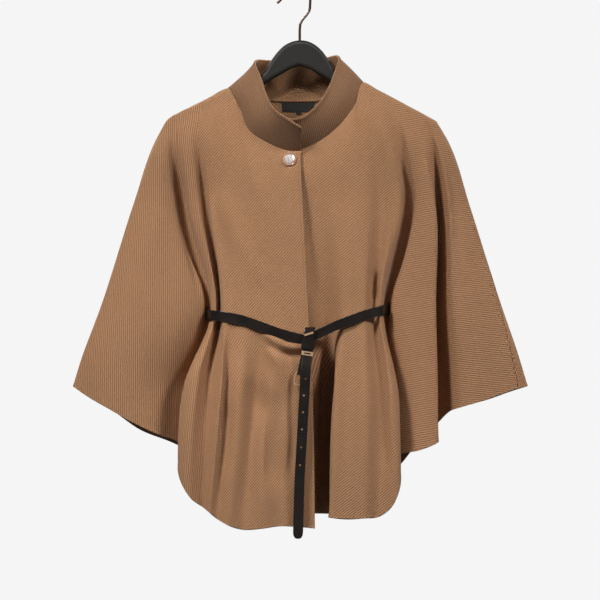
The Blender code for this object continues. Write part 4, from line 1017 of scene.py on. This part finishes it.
def cutStone():
    # the stone in the button: each of its faces broken into triangles that catch the light on their own, and
    # each painted a random glint from dim to bright
    piece = fromNode("button_jewel", "cutStone")
    build = bmesh.new()
    build.from_mesh(piece.data)
    bmesh.ops.poke(build, faces=build.faces)
    glint = build.faces.layers.float.new("facetGlint")
    dice = random.Random(stone["seed"])
    for vertex in build.verts:
        if len(vertex.link_faces) == 4:
            vertex.co += vertex.normal * dice.uniform(0.0, stone["lift"]) * mm
    middle = sum((vertex.co for vertex in build.verts), Vector()) / len(build.verts)
    reach = max((vertex.co - middle).length for vertex in build.verts)
    for face in build.faces:
        face[glint] = dice.random()
        face.smooth = False
        face.material_index = int((face.calc_center_median() - middle).length > stone["bezel"] * reach)
    build.to_mesh(piece.data)
    build.free()
    return piece


tailHoles = [(across, down, belt["holeRadius"], belt["holeRadius"]) for across, down in belt["holes"]]
for node, name, edge in belt["stretches"]:
    strap = fromNode(node, name, edge)
    if name == "strapTail":
        punch(strap, tailHoles, belt["holeReach"], belt["holeSides"])
    standIn(strap, blackLeather, "leather", node)
keeperLoop = fromNode("keeper_loop", "keeperLoop", keeper["edge"])
punch(keeperLoop, [keeper["slot"]], keeper["slotReach"], 4, keeper["slotTurn"])
standIn(keeperLoop, paleGold, "fittings", "keeper_loop")
for node, material in (
        ("keeper_bar", paleGold), ("buckle_frame", paleGold), ("buckle_tongue", paleGold),
        ("button_rim", roseGold), ("hanger_hook", copperBrown), ("hanger_arms", charcoalHanger),
        ("neck_label", labelSatin), ("size_tab", labelSatin)):
    keep(node, material)
jewel = standIn(cutStone(), rhinestone, "jewel", "button_jewel")
jewel.data.materials.append(roseGold)
print("belt, button and hanger dressed")

lamps = (  # name, watts, size in metres, spread in degrees, where it hangs and what it points at
    ("keyLight", 2.8, 0.5, 38, (-1.3, -1.4, 1.02), (-0.03, 0, -0.73)),
    ("rightLight", 1.9, 0.5, 38, (1.5, -1.3, 0.9), (0.06, 0, -0.73)),
    ("frontLight", 0.13, 0.3, 9, (0.1, -1.9, 1.45), (0.01, 0.02, -0.15)),
    ("backLeftLight", 2.4, 0.5, 44, (-1.4, 1.5, 1.1), (0, 0, -0.6)),
    ("backRightLight", 1.8, 0.5, 44, (1.5, 1.4, 1.0), (0, 0, -0.6)),
)
studio = {  # how bright the surroundings light and look, then the floor in metres and its own light
    "world": 0.088, "backdrop": 0.915, "floorDown": 1.9, "floorRadius": 4.5, "floorGlow": 0.6,
}


def setStudio():
    for name, watts, size, spread, where, towards in lamps:
        lamp = bpy.data.lights.new(name, "AREA")
        lamp.energy = watts
        lamp.size = size
        lamp.spread = math.radians(spread)
        holder = addObject(name, lamp)
        holder.location = where
        holder.rotation_euler = (Vector(towards) - Vector(where)).to_track_quat("-Z", "Y").to_euler()
    world = bpy.data.worlds.new("studio")
    bpy.context.scene.world = world
    world.use_nodes = True
    tree = world.node_tree
    background = tree.nodes["Background"]
    background.inputs["Color"].default_value = (1, 1, 1, 1)
    seen = shadeNode(tree, "ShaderNodeLightPath").outputs["Is Camera Ray"]
    strength = maths(tree, "MULTIPLY_ADD", seen, studio["backdrop"] - studio["world"], studio["world"])
    tree.links.new(strength, background.inputs["Strength"])
    bpy.ops.mesh.primitive_circle_add(vertices=96, radius=studio["floorRadius"], fill_type="NGON",
                                      location=(0, 0, -studio["floorDown"]))
    floor = bpy.context.object
    floor.name = "paleFloor"
    material, tree, shader = freshMaterial("paleFloor", {
        "Base Color": (0.8, 0.8, 0.8, 1), "Roughness": 0.8,
        "Emission Color": (1, 1, 1, 1), "Emission Strength": studio["floorGlow"]})
    floor.data.materials.append(material)
    floor.visible_diffuse = False  # a pale floor that throws no light up under the folds
    bpy.context.scene.view_settings.view_transform = "Standard"


def setCamera():
    lens = bpy.data.cameras.new("front")
    lens.sensor_width = 36.0
    lens.lens = 36.0 * sight["distance"] / sight["field"]
    lens.clip_end = 50
    holder = addObject("front", lens)
    holder.location = (sight["across"] * mm, -sight["distance"] * mm, -sight["down"] * mm)
    holder.rotation_euler = (math.radians(90), 0, 0)
    bpy.context.scene.camera = holder


setStudio()
setCamera()
print("studio and camera set")
